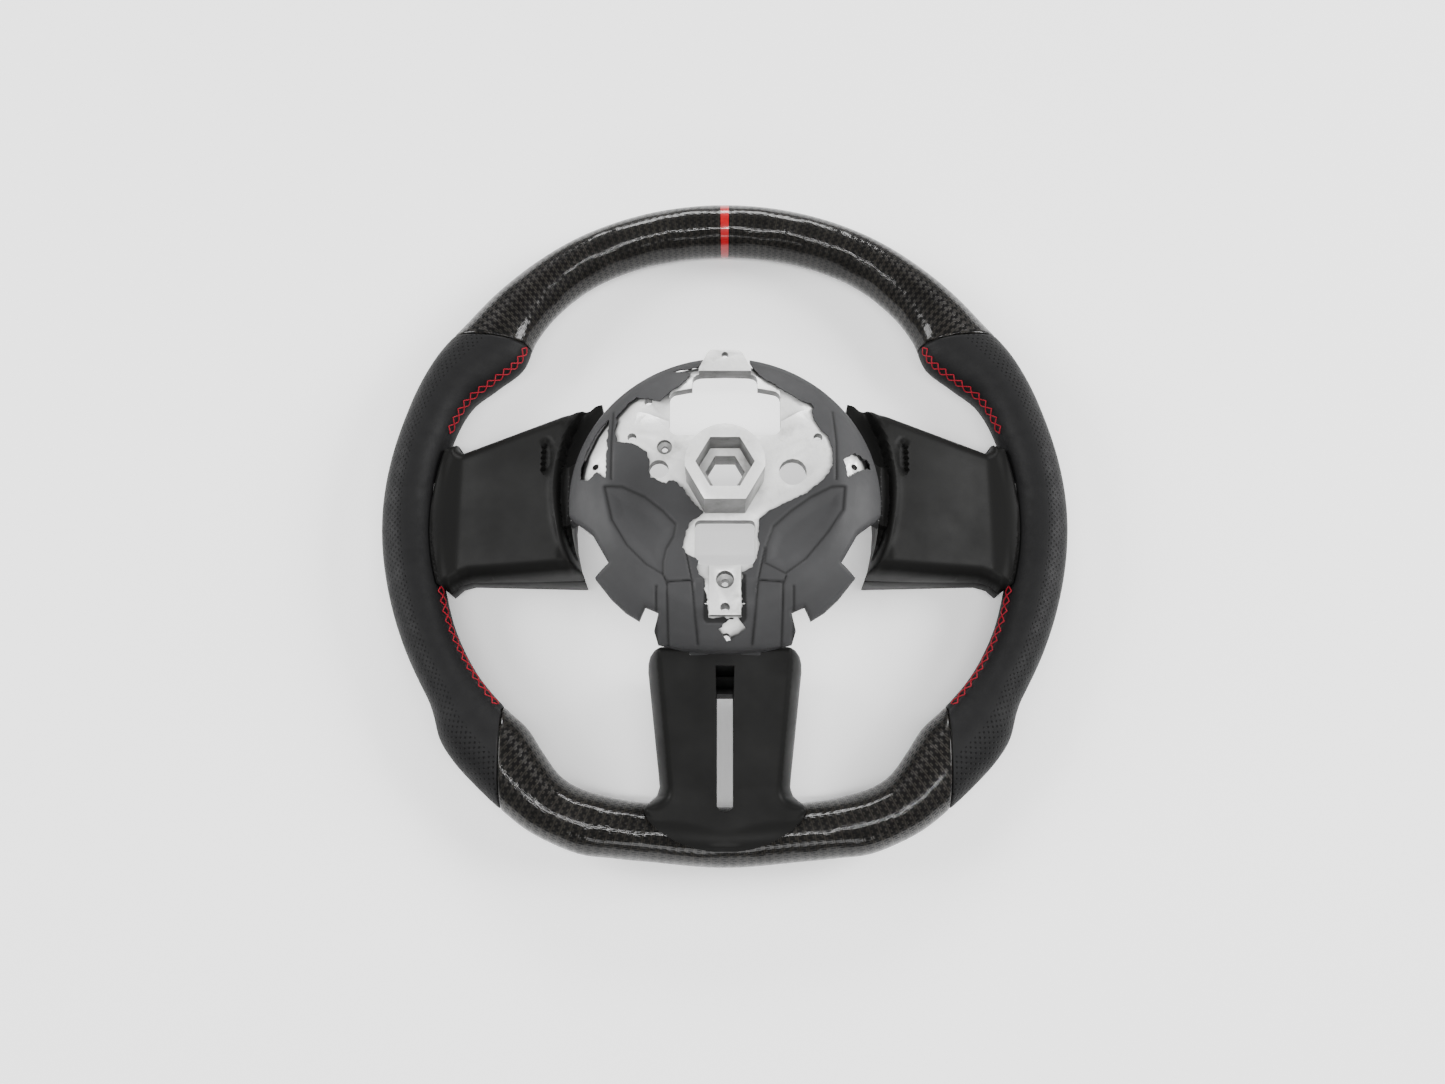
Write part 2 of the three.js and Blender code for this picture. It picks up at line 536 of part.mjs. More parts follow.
// Lower spoke in plan, right half: flared saddle over the rim, waist, corner at the disc. The saddle's
// points are given across the spoke and beyond the middle of the rim.
const onLowRim = (points) => points.map(([across, beyond]) => [across, -lowRimAt - beyond]);
const lowerHubEnd = [[38.4, -90], [37.4, -85.4], [34, -83.6], [20, -86]];
const lowerCoverPlan = wholeOutline([
  ...onLowRim([
    [15, 8.65], [27, 1.85], [35.6, -4.15], [39.6, -10.75], [39, -15.35], [34.6, -18.75], [32.4, -23.75],
  ]),
  ...lowerHubEnd,
]);
const lowerHollowPlan = wholeOutline([
  ...onLowRim([[15, 8.65], [27, 1.85], [34, -7.75], [32.4, -23.75]]),
  [38.4, -90], [34, -84],
]);
const slotLow = SLOT_TO_RIM - lowRimAt;
const slotOutline = (grow) => [
  [SLOT_HALF_WIDTH + grow, slotLow - grow], [SLOT_HALF_WIDTH + grow, SLOT_HIGH + grow],
  [-SLOT_HALF_WIDTH - grow, SLOT_HIGH + grow], [-SLOT_HALF_WIDTH - grow, slotLow - grow],
];

// The covers' top lines, as reach from the steering axis and height.
const sideTop = [
  [60, SIDE_COVER_TOP], [84, SIDE_COVER_TOP - 1], [sideRimAt - 27.9, SIDE_COVER_RIM_TOP],
  [sideRimAt - 7.9, SIDE_COVER_RIM_TOP - 1.6],
];
const lowerTop = [
  [78, LOWER_COVER_TOP], [lowRimAt - 21.75, LOWER_COVER_RIM_TOP + 1],
  [lowRimAt - 15.75, LOWER_COVER_RIM_TOP], [lowRimAt + 12.25, LOWER_COVER_RIM_TOP - 2],
];
const partingAt = (reach) =>
  THREE.MathUtils.mapLinear(reach, PARTING_REACH, sideRimAt - 15.9, PARTING_HUB, PARTING_RIM);

// Side view between the parting line and a top line.
function coverProfile(top, shift, drop) {
  const lowered = top.map(([reach, z]) => [reach, z - drop]);
  const [first, last] = [top[0][0], top.at(-1)[0]];
  return [[first, partingAt(first) + shift], [last, partingAt(last) + shift], ...lowered.reverse()];
}

const spokes = {
  side: {
    plan: sideCoverPlan, hollowPlan: sideHollowPlan, top: sideTop, turn: 0,
    screws: [[112, 24], [112, -25]],
  },
  lower: {
    plan: lowerCoverPlan, hollowPlan: lowerHollowPlan, top: lowerTop, turn: -90,
    screws: [[118, 22.6], [118, -22.6]],
  },
};
// Inside a cover, where no edge shows, its end wall stands a wall's thickness clear of the rim.
const endRelief = rimBody(-COVER_WALL).intersect(
  joined([
    block(100, FAR, -30, 22, 0, 22), block(-FAR, -100, -30, 22, 0, 22), block(-28, 28, -FAR, -100, 0, 22),
  ]),
);
const roomForSpokes = joined([rimBody(-GAP), roomForArms, endRelief]);

function screwPlaces({ screws, turn }) {
  return screws.map(([reach, across]) => {
    const angle = THREE.MathUtils.degToRad(turn);
    const x = reach * Math.cos(angle) - across * Math.sin(angle);
    const y = reach * Math.sin(angle) + across * Math.cos(angle);
    return { x, y, parting: partingAt(reach) };
  });
}

// Trim in side view, from its face up to a distance past the parting line.
function trimProfile(low, shift) {
  const [first, last] = [60, lowRimAt + 14.25];
  return [
    [first, low], [last, low], [last, partingAt(last) + shift], [first, partingAt(first) + shift],
  ];
}

const pulled = (plan, spoke, profile) =>
  through(plan).intersect(sideways(profile, 2 * FAR).rotate([0, 0, spoke.turn]));
const wallsOf = (spoke) => grown(spoke.hollowPlan, -COVER_WALL);

function spokeCover(spoke) {
  const outer = pulled(spoke.plan, spoke, coverProfile(spoke.top, GAP / 2, 0));
  const hollow = pulled(wallsOf(spoke), spoke, coverProfile(spoke.top, -FAR, COVER_WALL));
  const posts = screwPlaces(spoke).map(({ x, y, parting }) =>
    upright(x, y, SCREW_BOSS_RADIUS, parting + GAP, ABOVE, 12),
  );
  const underTop = pulled(spoke.plan, spoke, coverProfile(spoke.top, GAP / 2, 1));
  const screwHoles = screwPlaces(spoke).map(({ x, y }) =>
    upright(x, y, SCREW_RADIUS + GAP, 0, TRIM_FACE + SCREW_LENGTH + GAP, 12),
  );
  const hollowed = outer.subtract(hollow).add(joined(posts).intersect(underTop));
  return cutBy(hollowed, [...screwHoles, roomForSpokes]);
}

function spokeTrim(spoke) {
  const outer = pulled(spoke.plan, spoke, trimProfile(TRIM_FACE, -GAP / 2));
  const hollow = pulled(wallsOf(spoke), spoke, trimProfile(TRIM_FACE + COVER_WALL, FAR));
  const seats = screwPlaces(spoke).map(({ x, y }) =>
    upright(x, y, SCREW_BOSS_RADIUS + 2, TRIM_FACE + 1, TRIM_FACE + 1 + TRIM_SEAT, 12),
  );
  const cutters = screwPlaces(spoke).flatMap(({ x, y }) => [
    upright(x, y, SCREW_RADIUS + GAP, 0, ABOVE, 12),
    upright(x, y, SCREW_HEAD_RADIUS + GAP, 0, TRIM_FACE + SCREW_HEAD_HEIGHT + GAP, 12),
  ]);
  return cutBy(joined([outer.subtract(hollow), ...seats]), [...cutters, roomForSpokes]);
}

// The lower cover and trim have a slot right through them, with a wall all round it.
function lowerParts() {
  const spoke = spokes.lower;
  const wall = through(slotOutline(COVER_WALL));
  const coverWall = wall.intersect(pulled(spoke.plan, spoke, coverProfile(spoke.top, GAP / 2, 0)));
  const trimWall = wall.intersect(pulled(spoke.plan, spoke, trimProfile(TRIM_FACE, -GAP / 2)));
  const clear = [through(slotOutline(0)), roomForSpokes];
  return {
    cover: cutBy(spokeCover(spoke).add(coverWall), clear),
    trim: cutBy(spokeTrim(spoke).add(trimWall), clear),
  };
}

function screw({ x, y }) {
  const profile = [
    [0, 0], [SCREW_HEAD_RADIUS, 0], [SCREW_HEAD_RADIUS, SCREW_HEAD_HEIGHT],
    [SCREW_RADIUS, SCREW_HEAD_HEIGHT], [SCREW_RADIUS, SCREW_LENGTH - SCREW_POINT], [0, SCREW_LENGTH],
  ].map(([r, z]) => new THREE.Vector2(r, z));
  return toSolid(new THREE.LatheGeometry(profile, 8).rotateX(Math.PI / 2).translate(x, y, TRIM_FACE));
}

// ---- materials and the finished group --------------------------------------------------------------
const finish = (color, roughness, metalness) =>
  new THREE.MeshStandardMaterial({ color, roughness, metalness });
const FINISHES = {
  alloy: () => finish(0xc9cac8, 0.45, 0.9),
  steel: () => finish(0x8a8c8e, 0.4, 1),
  foam: () => finish(0x3a3a38, 0.95, 0),
  skin: () => finish(0x474747, 0.62, 0),
  cover: () => finish(0x1e1f1e, 0.5, 0),
  carbon: () => finish(0x1a1815, 0.12, 0.1),
  stripe: () => finish(0xc01420, 0.15, 0),
  leather: () => finish(0x1c1d1d, 0.6, 0),
  thread: () => finish(0xc41230, 0.7, 0),
  screw: () => finish(0x2a2a2c, 0.4, 0.9),
};

const wheel = new THREE.Group();
function place(name, solid, finishName) {
  const mesh = new THREE.Mesh(toGeometry(solid), FINISHES[finishName]());
  mesh.name = name;
  wheel.add(mesh);
}

place("hub_casting", hubCasting(), "alloy");
place("hub_skin", hubSkin(), "skin");
place("rim_ring", ringBody(RING_RADIUS), "steel");
place("rim_foam", rimFoam(), "foam");
place("carbon_top", carbonTop(), "carbon");
place("carbon_bottom", carbonBottom(), "carbon");
place("centre_stripe", stripeBand(STRIPE_WIDTH, STRIPE_DEPTH), "stripe");

const leather = leatherRight();
place("leather_right", leather, "leather");
place("leather_left", mirrorX(leather), "leather");

const STITCH_RUNS = { upper: [49, 74], lower: [107, 132] };
for (const [height, [from, to]] of Object.entries(STITCH_RUNS)) {
  const run = stitching(from, to);
  place(`stitching_${height}_right`, run, "thread");
  place(`stitching_${height}_left`, mirrorX(run), "thread");
}

const sideCover = spokeCover(spokes.side);
const sideTrim = spokeTrim(spokes.side);
const sideScrews = screwPlaces(spokes.side).map(screw);
const lower = lowerParts();
const lowerScrews = screwPlaces(spokes.lower).map(screw);
for (const [side, handed] of [["right", (solid) => solid], ["left", mirrorX]]) {
  place(`${side}_spoke_cover`, handed(sideCover), "cover");
  place(`${side}_spoke_trim`, handed(sideTrim), "cover");
  sideScrews.forEach((one, i) => place(`${side}_spoke_screw_${i + 1}`, handed(one), "screw"));
}
place("lower_spoke_cover", lower.cover, "cover");
place("lower_spoke_trim", lower.trim, "cover");
lowerScrews.forEach((one, i) => place(`lower_spoke_screw_${i + 1}`, one, "screw"));

export default wheel;
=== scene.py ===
import bpy
import numpy as np
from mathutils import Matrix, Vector
from mathutils.geometry import delaunay_2d_cdt


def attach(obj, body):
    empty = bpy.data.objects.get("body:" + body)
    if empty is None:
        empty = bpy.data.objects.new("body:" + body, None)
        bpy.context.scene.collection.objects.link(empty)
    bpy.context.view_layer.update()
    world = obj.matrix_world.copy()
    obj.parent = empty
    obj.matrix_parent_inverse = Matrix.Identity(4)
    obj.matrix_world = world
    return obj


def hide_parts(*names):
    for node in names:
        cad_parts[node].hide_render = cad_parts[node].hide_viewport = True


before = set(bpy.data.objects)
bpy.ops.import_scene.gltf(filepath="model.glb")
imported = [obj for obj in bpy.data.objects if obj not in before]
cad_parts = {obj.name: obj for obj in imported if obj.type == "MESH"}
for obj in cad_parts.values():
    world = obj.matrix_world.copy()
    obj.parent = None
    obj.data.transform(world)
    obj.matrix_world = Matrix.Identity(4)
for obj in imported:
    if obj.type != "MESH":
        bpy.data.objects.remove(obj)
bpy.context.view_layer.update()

# ---- camera ------------------------------------------------------------------------------------
# The wheel is looked at from its column side, 16 degrees off the steering axis towards the lower
# spoke, from 0.7 m. The aim point is a little below the steering axis, level with the rim's middle.
MM = 0.001
AIM_MM = (-1.2, -16.0, 16.0)
VIEW_DISTANCE_MM = 700.0
OFF_AXIS_DEG = 16.0
LENS_MM = 33.2

off_axis = np.radians(OFF_AXIS_DEG)
camera_data = bpy.data.cameras.new("camera")
camera_data.lens = LENS_MM
camera_data.clip_start = 0.01
camera = bpy.data.objects.new("camera", camera_data)
camera.location = (
    AIM_MM[0] * MM,
    (AIM_MM[1] - VIEW_DISTANCE_MM * np.sin(off_axis)) * MM,
    (AIM_MM[2] + VIEW_DISTANCE_MM * np.cos(off_axis)) * MM,
)
camera.rotation_euler = (off_axis, 0.0, 0.0)
bpy.context.scene.collection.objects.link(camera)
bpy.context.scene.camera = camera

# ---- studio ------------------------------------------------------------------------------------
# A pale floor under the rim, a dim even room that looks bright, two long strip lights whose
# reflections run along the clear coat as thin lines, and broad soft lights low on all four sides.
FLOOR_HALF_MM = 4000.0
FLOOR_DROP_MM = 0.4
FLOOR_GLOW = 0.35
ROOM_LIGHT, ROOM_SEEN = 0.16, 0.9
# Name, place and size in metres, and power in watts.
STUDIO_LIGHTS = (
    ("strip_near", (0.0, -0.42, 1.2), (1.3, 0.012), 10.0),
    ("strip_far", (0.0, -0.30, 1.2), (1.3, 0.008), 5.0),
    ("soft_left", (-2.0, 0.4, 1.1), (1.0, 1.0), 70.0),
    ("soft_right", (2.0, 0.4, 1.1), (1.0, 1.0), 95.0),
    ("soft_front", (0.0, -2.4, 1.2), (1.6, 0.6), 22.0),
    ("soft_top", (0.0, 2.6, 1.2), (1.6, 0.6), 80.0),
)


def principled(name, color, roughness, metallic=0.0, **sockets):
    """A new node material, with its plain values set on the shader's own sockets."""
    material = bpy.data.materials.new(name)
    material.use_nodes = True
    shader = material.node_tree.nodes["Principled BSDF"]
    shader.inputs["Base Color"].default_value = (*color, 1.0)
    shader.inputs["Roughness"].default_value = roughness
    shader.inputs["Metallic"].default_value = metallic
    for socket, value in sockets.items():
        shader.inputs[socket.replace("_", " ")].default_value = value
    return material, shader


def new_piece(name, data):
    """An object for a mesh or a light, linked into the scene."""
    piece = bpy.data.objects.new(name, data)
    bpy.context.scene.collection.objects.link(piece)
    return piece


def area_light(name, place, size, power):
    """A rectangle of light at place, turned to face the origin."""
    light = bpy.data.lights.new(name, "AREA")
    light.shape = "RECTANGLE"
    light.size, light.size_y = size
    light.energy = power
    lamp = new_piece(name, light)
    lamp.location = place
    lamp.rotation_euler = (Vector() - Vector(place)).to_track_quat("-Z", "Y").to_euler()


def lay_mesh(name, points_mm, faces, material, uvs=None, sharp_deg=40.0):
    """A mesh object from points in millimetres and faces, smooth except at edges over sharp_deg."""
    mesh = bpy.data.meshes.new(name)
    faces = faces.tolist() if isinstance(faces, np.ndarray) else faces
    mesh.from_pydata((np.asarray(points_mm) * MM).tolist(), [], faces)
    if uvs is not None:
        layer = mesh.uv_layers.new(name="wrap")
        layer.data.foreach_set("uv", np.asarray(uvs, dtype=np.float32).ravel())
    mesh.polygons.foreach_set("use_smooth", [True] * len(mesh.polygons))
    mesh.set_sharp_from_angle(angle=np.radians(sharp_deg))
    mesh.materials.append(material)
    mesh.update()
    return new_piece(name, mesh)


def math_of(nodes, links, operation, *values):
    """A Math node on sockets or numbers, and its Value output."""
    node = nodes.new("ShaderNodeMath")
    node.operation = operation
    for socket, value in zip(node.inputs, values):
        if isinstance(value, (int, float)):
            socket.default_value = value
        else:
            links.new(value, socket)
    return node.outputs["Value"]


floor_material, floor_shader = principled("studio_floor", (0.9, 0.9, 0.9), 0.9)
floor_shader.inputs["Emission Color"].default_value = (1.0, 1.0, 1.0, 1.0)
floor_shader.inputs["Emission Strength"].default_value = FLOOR_GLOW
floor_corners = [(x, y, -FLOOR_DROP_MM) for x, y in ((-1, -1), (1, -1), (1, 1), (-1, 1))]
floor_points = np.array(floor_corners) * (FLOOR_HALF_MM, FLOOR_HALF_MM, 1.0)
lay_mesh("studio_floor", floor_points, [(0, 1, 2, 3)], floor_material)

world = bpy.data.worlds.new("studio_room")
world.use_nodes = True
room, room_links = world.node_tree.nodes, world.node_tree.links
room["Background"].inputs["Color"].default_value = (1.0, 1.0, 1.0, 1.0)
seen = room.new("ShaderNodeLightPath").outputs["Is Camera Ray"]
strength = math_of(room, room_links, "MULTIPLY_ADD", seen, ROOM_SEEN - ROOM_LIGHT, ROOM_LIGHT)
room_links.new(strength, room["Background"].inputs["Strength"])
bpy.context.scene.world = world
for light in STUDIO_LIGHTS:
    area_light(*light)

# ---- hub casting -------------------------------------------------------------------------------
# The armature is one pressure die casting: plate, boss with its stepped hexagonal socket, ears
# and arms. Its edges are slightly rounded by the die, and its bright skin is faintly mottled.
CAST_EDGE_MM = 0.45
# Reach of the ambient occlusion that paints shade into the alloy's corners, in mm.
PAINTED_SHADE_REACH_MM = 8.0
WELD_MM = 0.02
FLAT_WITHIN_DEG = 1.0
ROUNDED_OVER_DEG = 38.0
SHARP_OVER_DEG = 32.0


def noise_of(nodes, links, coordinates, scale, detail=4.0, roughness=0.55):
    """A Noise Texture on the given coordinates, and its Factor output."""
    noise = nodes.new("ShaderNodeTexNoise")
    noise.inputs["Scale"].default_value = scale
    noise.inputs["Detail"].default_value = detail
    noise.inputs["Roughness"].default_value = roughness
    links.new(coordinates, noise.inputs["Vector"])
    return noise.outputs["Fac"]


def ramp_of(nodes, links, factor, stops):
    """A Color Ramp through (position, colour) stops, and its Color output."""
    ramp = nodes.new("ShaderNodeValToRGB")
    elements = ramp.color_ramp.elements
    while len(elements) < len(stops):
        elements.new(0.5)
    for element, (position, color) in zip(elements, stops):
        element.position = position
        element.color = (*color, 1.0)
    links.new(factor, ramp.inputs["Fac"])
    return ramp.outputs["Color"]


def bump_of(nodes, links, shader, height, distance, strength=1.0, under=None, onto="Normal"):
    """A Bump node from a height to one of the shader's normals, over another bump if given."""
    bump = nodes.new("ShaderNodeBump")
    bump.inputs["Distance"].default_value = distance
    bump.inputs["Strength"].default_value = strength
    links.new(height, bump.inputs["Height"])
    if under is not None:
        links.new(under, bump.inputs["Normal"])
    links.new(bump.outputs["Normal"], shader.inputs[onto])
    return bump.outputs["Normal"]


def mix_of(nodes, links, factor, first, second, blend="MIX"):
    """A colour Mix node on sockets, colours or a plain factor, and its Result output."""
    node = nodes.new("ShaderNodeMix")
    node.data_type = "RGBA"
    node.blend_type = blend
    if isinstance(factor, float):
        node.inputs["Factor"].default_value = factor
    else:
        links.new(factor, node.inputs["Factor"])
    colours = [socket for socket in node.inputs if socket.type == "RGBA"]
    for socket, value in zip(colours, (first, second)):
        if isinstance(value, tuple):
            socket.default_value = (*value, 1.0)
        else:
            links.new(value, socket)
    return next(socket for socket in node.outputs if socket.type == "RGBA")


def alloy_finish():
    """Bright as-cast alloy with a cloudy tone and flow marks in the roughness. Painted shade: the
    base colour is darkened on walls that turn away from straight up, and in corners by ambient
    occlusion."""
    material, shader = principled("cast_alloy", (0.7, 0.7, 0.69), 0.4, metallic=0.55)
    nodes, links = material.node_tree.nodes, material.node_tree.links
    place = nodes.new("ShaderNodeTexCoord").outputs["Object"]
    clouds = noise_of(nodes, links, place, 55.0, 6.0, 0.62)
    tone = [(0.3, (0.42, 0.42, 0.41)), (0.42, (0.66, 0.66, 0.65)), (0.6, (0.84, 0.84, 0.83))]
    # Painted shade: the normal's upward part times ambient occlusion darkens the base colour on
    # walls and in corners.
    facing = nodes.new("ShaderNodeSeparateXYZ")
    links.new(nodes.new("ShaderNodeNewGeometry").outputs["Normal"], facing.inputs["Vector"])
    occlusion_shade = nodes.new("ShaderNodeAmbientOcclusion")
    occlusion_shade.inputs["Distance"].default_value = PAINTED_SHADE_REACH_MM * MM
    painted_shade_factor = math_of(nodes, links, "MULTIPLY", facing.outputs["Z"], occlusion_shade.outputs["AO"])
    wall = ramp_of(nodes, links, painted_shade_factor, [(0.15, (0.24,) * 3), (0.9, (1.0,) * 3)])
    cloudy = ramp_of(nodes, links, clouds, tone)
    links.new(mix_of(nodes, links, 1.0, cloudy, wall, "MULTIPLY"), shader.inputs["Base Color"])
    rough = ramp_of(nodes, links, clouds, [(0.3, (0.62,) * 3), (0.7, (0.36,) * 3)])
    links.new(rough, shader.inputs["Roughness"])
    grain = noise_of(nodes, links, place, 900.0, 3.0, 0.6)
    fine = bump_of(nodes, links, shader, grain, 0.0002, 0.35)
    bump_of(nodes, links, shader, clouds, 0.0012, 0.5, under=fine)
    return material


def softened(node, name, material, edge_mm):
    """A copy of a CAD node with its points merged, flat faces joined, and sharp edges rounded."""
    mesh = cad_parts[node].data.copy()
    mesh.name = name
    mesh.materials.clear()
    mesh.materials.append(material)
    piece = new_piece(name, mesh)
    weld = piece.modifiers.new("weld", "WELD")
    weld.merge_threshold = WELD_MM * MM
    flat = piece.modifiers.new("flat", "DECIMATE")
    flat.decimate_type = "DISSOLVE"
    flat.angle_limit = np.radians(FLAT_WITHIN_DEG)
    bevel = piece.modifiers.new("bevel", "BEVEL")
    bevel.width = edge_mm * MM
    bevel.segments = 2
    bevel.limit_method = "ANGLE"
    bevel.angle_limit = np.radians(ROUNDED_OVER_DEG)
    bpy.context.view_layer.update()
    depsgraph = bpy.context.evaluated_depsgraph_get()
    baked = bpy.data.meshes.new_from_object(piece.evaluated_get(depsgraph))
    piece.modifiers.clear()
    piece.data = baked
    baked.polygons.foreach_set("use_smooth", [True] * len(baked.polygons))
    baked.set_sharp_from_angle(angle=np.radians(SHARP_OVER_DEG))
    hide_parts(node)
    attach(piece, "root")
    return piece


casting = softened("hub_casting", "alloy_armature", alloy_finish(), CAST_EDGE_MM)

# ---- hub skin ----------------------------------------------------------------------------------
# A thin polyurethane skin is moulded over the casting. It domes down to the disc's edge, carries
# two leaf-shaped hollows and a lower channel, and tears off in ragged flash where alloy is bare.
DISC_Y = -8.0
DISC_RADIUS = 77.5
SKIN_TOP = 76.4
SKIN_THICK = 1.2
DOME_RADII = (0.0, 56.0, 65.9, 73.2, 77.5, 90.0)
DOME_DROPS = (0.0, 0.0, 4.4, 10.0, 17.0, 21.0)
SMOOTHING = (-2.5, -1.2, 0.0, 1.2, 2.5)
EDGE_DROP, EDGE_ROUND = 1.1, 1.6
LEAF_DEPTH = 2.2
LEAF_STEP = 0.9
CREASE_DEPTH = 0.8
CREASE_HALF = 0.6
LAP_DEPTH = 0.6
CHANNEL_DEPTH = 0.5
CHANNEL_HALF = (1.7, 2.4)
LIP_DEPTH = 2.6
LIP_WIDTH = (3.0, 5.2)
SKIRT_LOW, SADDLE_LOW = 46.0, 53.6


def both_sides(half):
    """An outline from its right half, given from the bottom up, and that half's mirror image."""
    half = np.asarray(half, dtype=float)
    return np.vstack([half, (half * (-1.0, 1.0))[::-1]])


def arc(centre, radius, start_deg, end_deg, count):
    """Points at even steps on a circle."""
    angle = np.radians(np.linspace(start_deg, end_deg, count))
    return np.column_stack([centre[0] + radius * np.cos(angle), centre[1] + radius * np.sin(angle)])


def resampled(outline, spacing, wander=0.0, seed=0):
    """The closed outline cut at even spacing. wander pushes points off the line by a smoothed
    random amount, which gives a torn edge."""
    closed = np.vstack([outline, outline[:1]])
    steps = np.hypot(*np.diff(closed, axis=0).T)
    along = np.concatenate([[0.0], np.cumsum(steps)])
    count = max(8, int(along[-1] / spacing))
    at = np.unique(np.concatenate([np.linspace(0.0, along[-1], count, endpoint=False), along[:-1]]))
    keep = np.concatenate([[True], np.diff(at) > 0.25 * spacing])
    at = at[keep]
    points = np.column_stack([np.interp(at, along, closed[:, k]) for k in (0, 1)])
    if wander:
        raw = np.random.default_rng(seed).normal(size=(len(points), 2))
        smooth = (raw + np.roll(raw, 1, 0) + np.roll(raw, -1, 0)) / 1.7
        points = points + wander * (0.6 * smooth + 0.4 * raw)
    return points


def inside(points, outline):
    """Even-odd rule: a point is inside if a ray to its right crosses the outline an odd number
    of times."""
    odd = np.zeros(len(points), dtype=bool)
    x, y = points.T
    for (x0, y0), (x1, y1) in zip(outline, np.roll(outline, -1, 0)):
        if y0 != y1:
            crosses = (y0 > y) != (y1 > y)
            odd ^= crosses & (x < (x1 - x0) * (y - y0) / (y1 - y0) + x0)
    return odd


def edge_distance(points, line, closed=True):
    """Shortest distance from each point to the line through the given corners."""
    best = np.full(len(points), np.inf)
    ends = np.roll(line, -1, 0) if closed else line[1:]
    starts = line if closed else line[:-1]
    for start, end in zip(starts, ends):
        run = end - start
        share = np.clip((points - start) @ run / max(run @ run, 1e-12), 0.0, 1.0)
        best = np.minimum(best, np.hypot(*(points - start - share[:, None] * run).T))
    return best


def eased(value, low, high):
    """0 below low, 1 above high, and a smooth step between."""
    share = np.clip((value - low) / (high - low), 0.0, 1.0)
    return share * share * (3.0 - 2.0 * share)


def plan_solid(name, outline, holes, spacing, top, bottom, material, edge_band=3.0, sharp_deg=48.0):
    """A closed solid over a flat outline with holes. Points on a triangular lattice, finer within
    edge_band of an edge, are joined by constrained Delaunay triangles; top and bottom give the two
    heights of a point from its place and its distance to the outline, and walls join them."""
    loops = [outline, *holes]
    low, high = outline.min(0), outline.max(0)
    lattices = []
    for step in (spacing, spacing / 2.0):
        rows = np.arange(low[1], high[1], step * 0.866)
        columns = np.arange(low[0], high[0] + step, step)
        grid = np.stack(np.meshgrid(columns, rows), -1)
        grid[1::2, :, 0] += step / 2.0
        lattices.append(grid.reshape(-1, 2))
    wide, fine = lattices
    near_wide = np.min([edge_distance(wide, loop) for loop in loops], axis=0)
    near_fine = np.min([edge_distance(fine, loop) for loop in loops], axis=0)
    kept = np.vstack([
        wide[near_wide >= edge_band],
        fine[(near_fine < edge_band) & (near_fine > 0.3 * spacing)],
    ])
    solid = inside(kept, outline)
    for hole in holes:
        solid &= ~inside(kept, hole)
    points = np.vstack([*loops, kept[solid]])
    starts = np.cumsum([0, *(len(loop) for loop in loops)])
    edges = [
        (int(first + i), int(first + (i + 1) % len(loop)))
        for first, loop in zip(starts, loops)
        for i in range(len(loop))
    ]
    flat, _, triangles, *_ = delaunay_2d_cdt([Vector(p) for p in points], edges, [], 0, 1e-5)
    flat = np.array([tuple(p) for p in flat])
    triangles = np.array(triangles)
    middles = flat[triangles].mean(axis=1)
    wanted = inside(middles, outline)
    for hole in holes:
        wanted &= ~inside(middles, hole)
    triangles = triangles[wanted]
    used, triangles = np.unique(triangles, return_inverse=True)
    triangles = triangles.reshape(-1, 3)
    flat = flat[used]
    to_edge = edge_distance(flat, outline)
    x, y = flat.T
    upper = np.column_stack([x, y, top(x, y, to_edge)])
    lower = np.column_stack([x, y, bottom(x, y, to_edge)])
    sides = triangles[:, [0, 1, 1, 2, 2, 0]].reshape(-1, 2)
    keys = sides[:, 0] * len(flat) + sides[:, 1]
    free = sides[~np.isin(keys, sides[:, 1] * len(flat) + sides[:, 0])]
    count = len(flat)
    walls = np.vstack([
        np.column_stack([free[:, 1], free[:, 0], free[:, 0] + count]),
        np.column_stack([free[:, 1], free[:, 0] + count, free[:, 1] + count]),
    ])
    faces = np.vstack([triangles, triangles[:, ::-1] + count, walls])
    return lay_mesh(name, np.vstack([upper, lower]), faces, material, sharp_deg=sharp_deg)


def moulded_finish(name, color, shine, grain_scale, grain_depth, wear, specular=0.2):
    """Moulded plastic: a fine even grain in the bump, soft cloudy patches in colour and shine, and
    painted shade that darkens the base colour in the creases where the mesh's crease attribute says
    so."""
    material, shader = principled(name, color, shine, Specular_IOR_Level=specular)
    nodes, links = material.node_tree.nodes, material.node_tree.links
    place = nodes.new("ShaderNodeTexCoord").outputs["Object"]
    patches = noise_of(nodes, links, place, 28.0, 5.0, 0.6)
    dark = tuple(c * (1.0 - wear) for c in color)
    light = tuple(c * (1.0 + 1.6 * wear) for c in color)
    crease = nodes.new("ShaderNodeAttribute")
    crease.attribute_name = "crease"
    tone = ramp_of(nodes, links, patches, [(0.3, dark), (0.72, light)])
    # Painted shade: creases take 0.18 of the base colour.
    painted_crease_shade = tuple(c * 0.18 for c in color)
    links.new(mix_of(nodes, links, crease.outputs["Fac"], tone, painted_crease_shade), shader.inputs["Base Color"])
    dull, bright = (shine + 0.1,) * 3, (shine - 0.08,) * 3
    rough = ramp_of(nodes, links, patches, [(0.3, dull), (0.75, bright)])
    links.new(rough, shader.inputs["Roughness"])
    grain = noise_of(nodes, links, place, grain_scale, 2.0, 0.5)
    bump_of(nodes, links, shader, grain, grain_depth, 0.5)
    return material


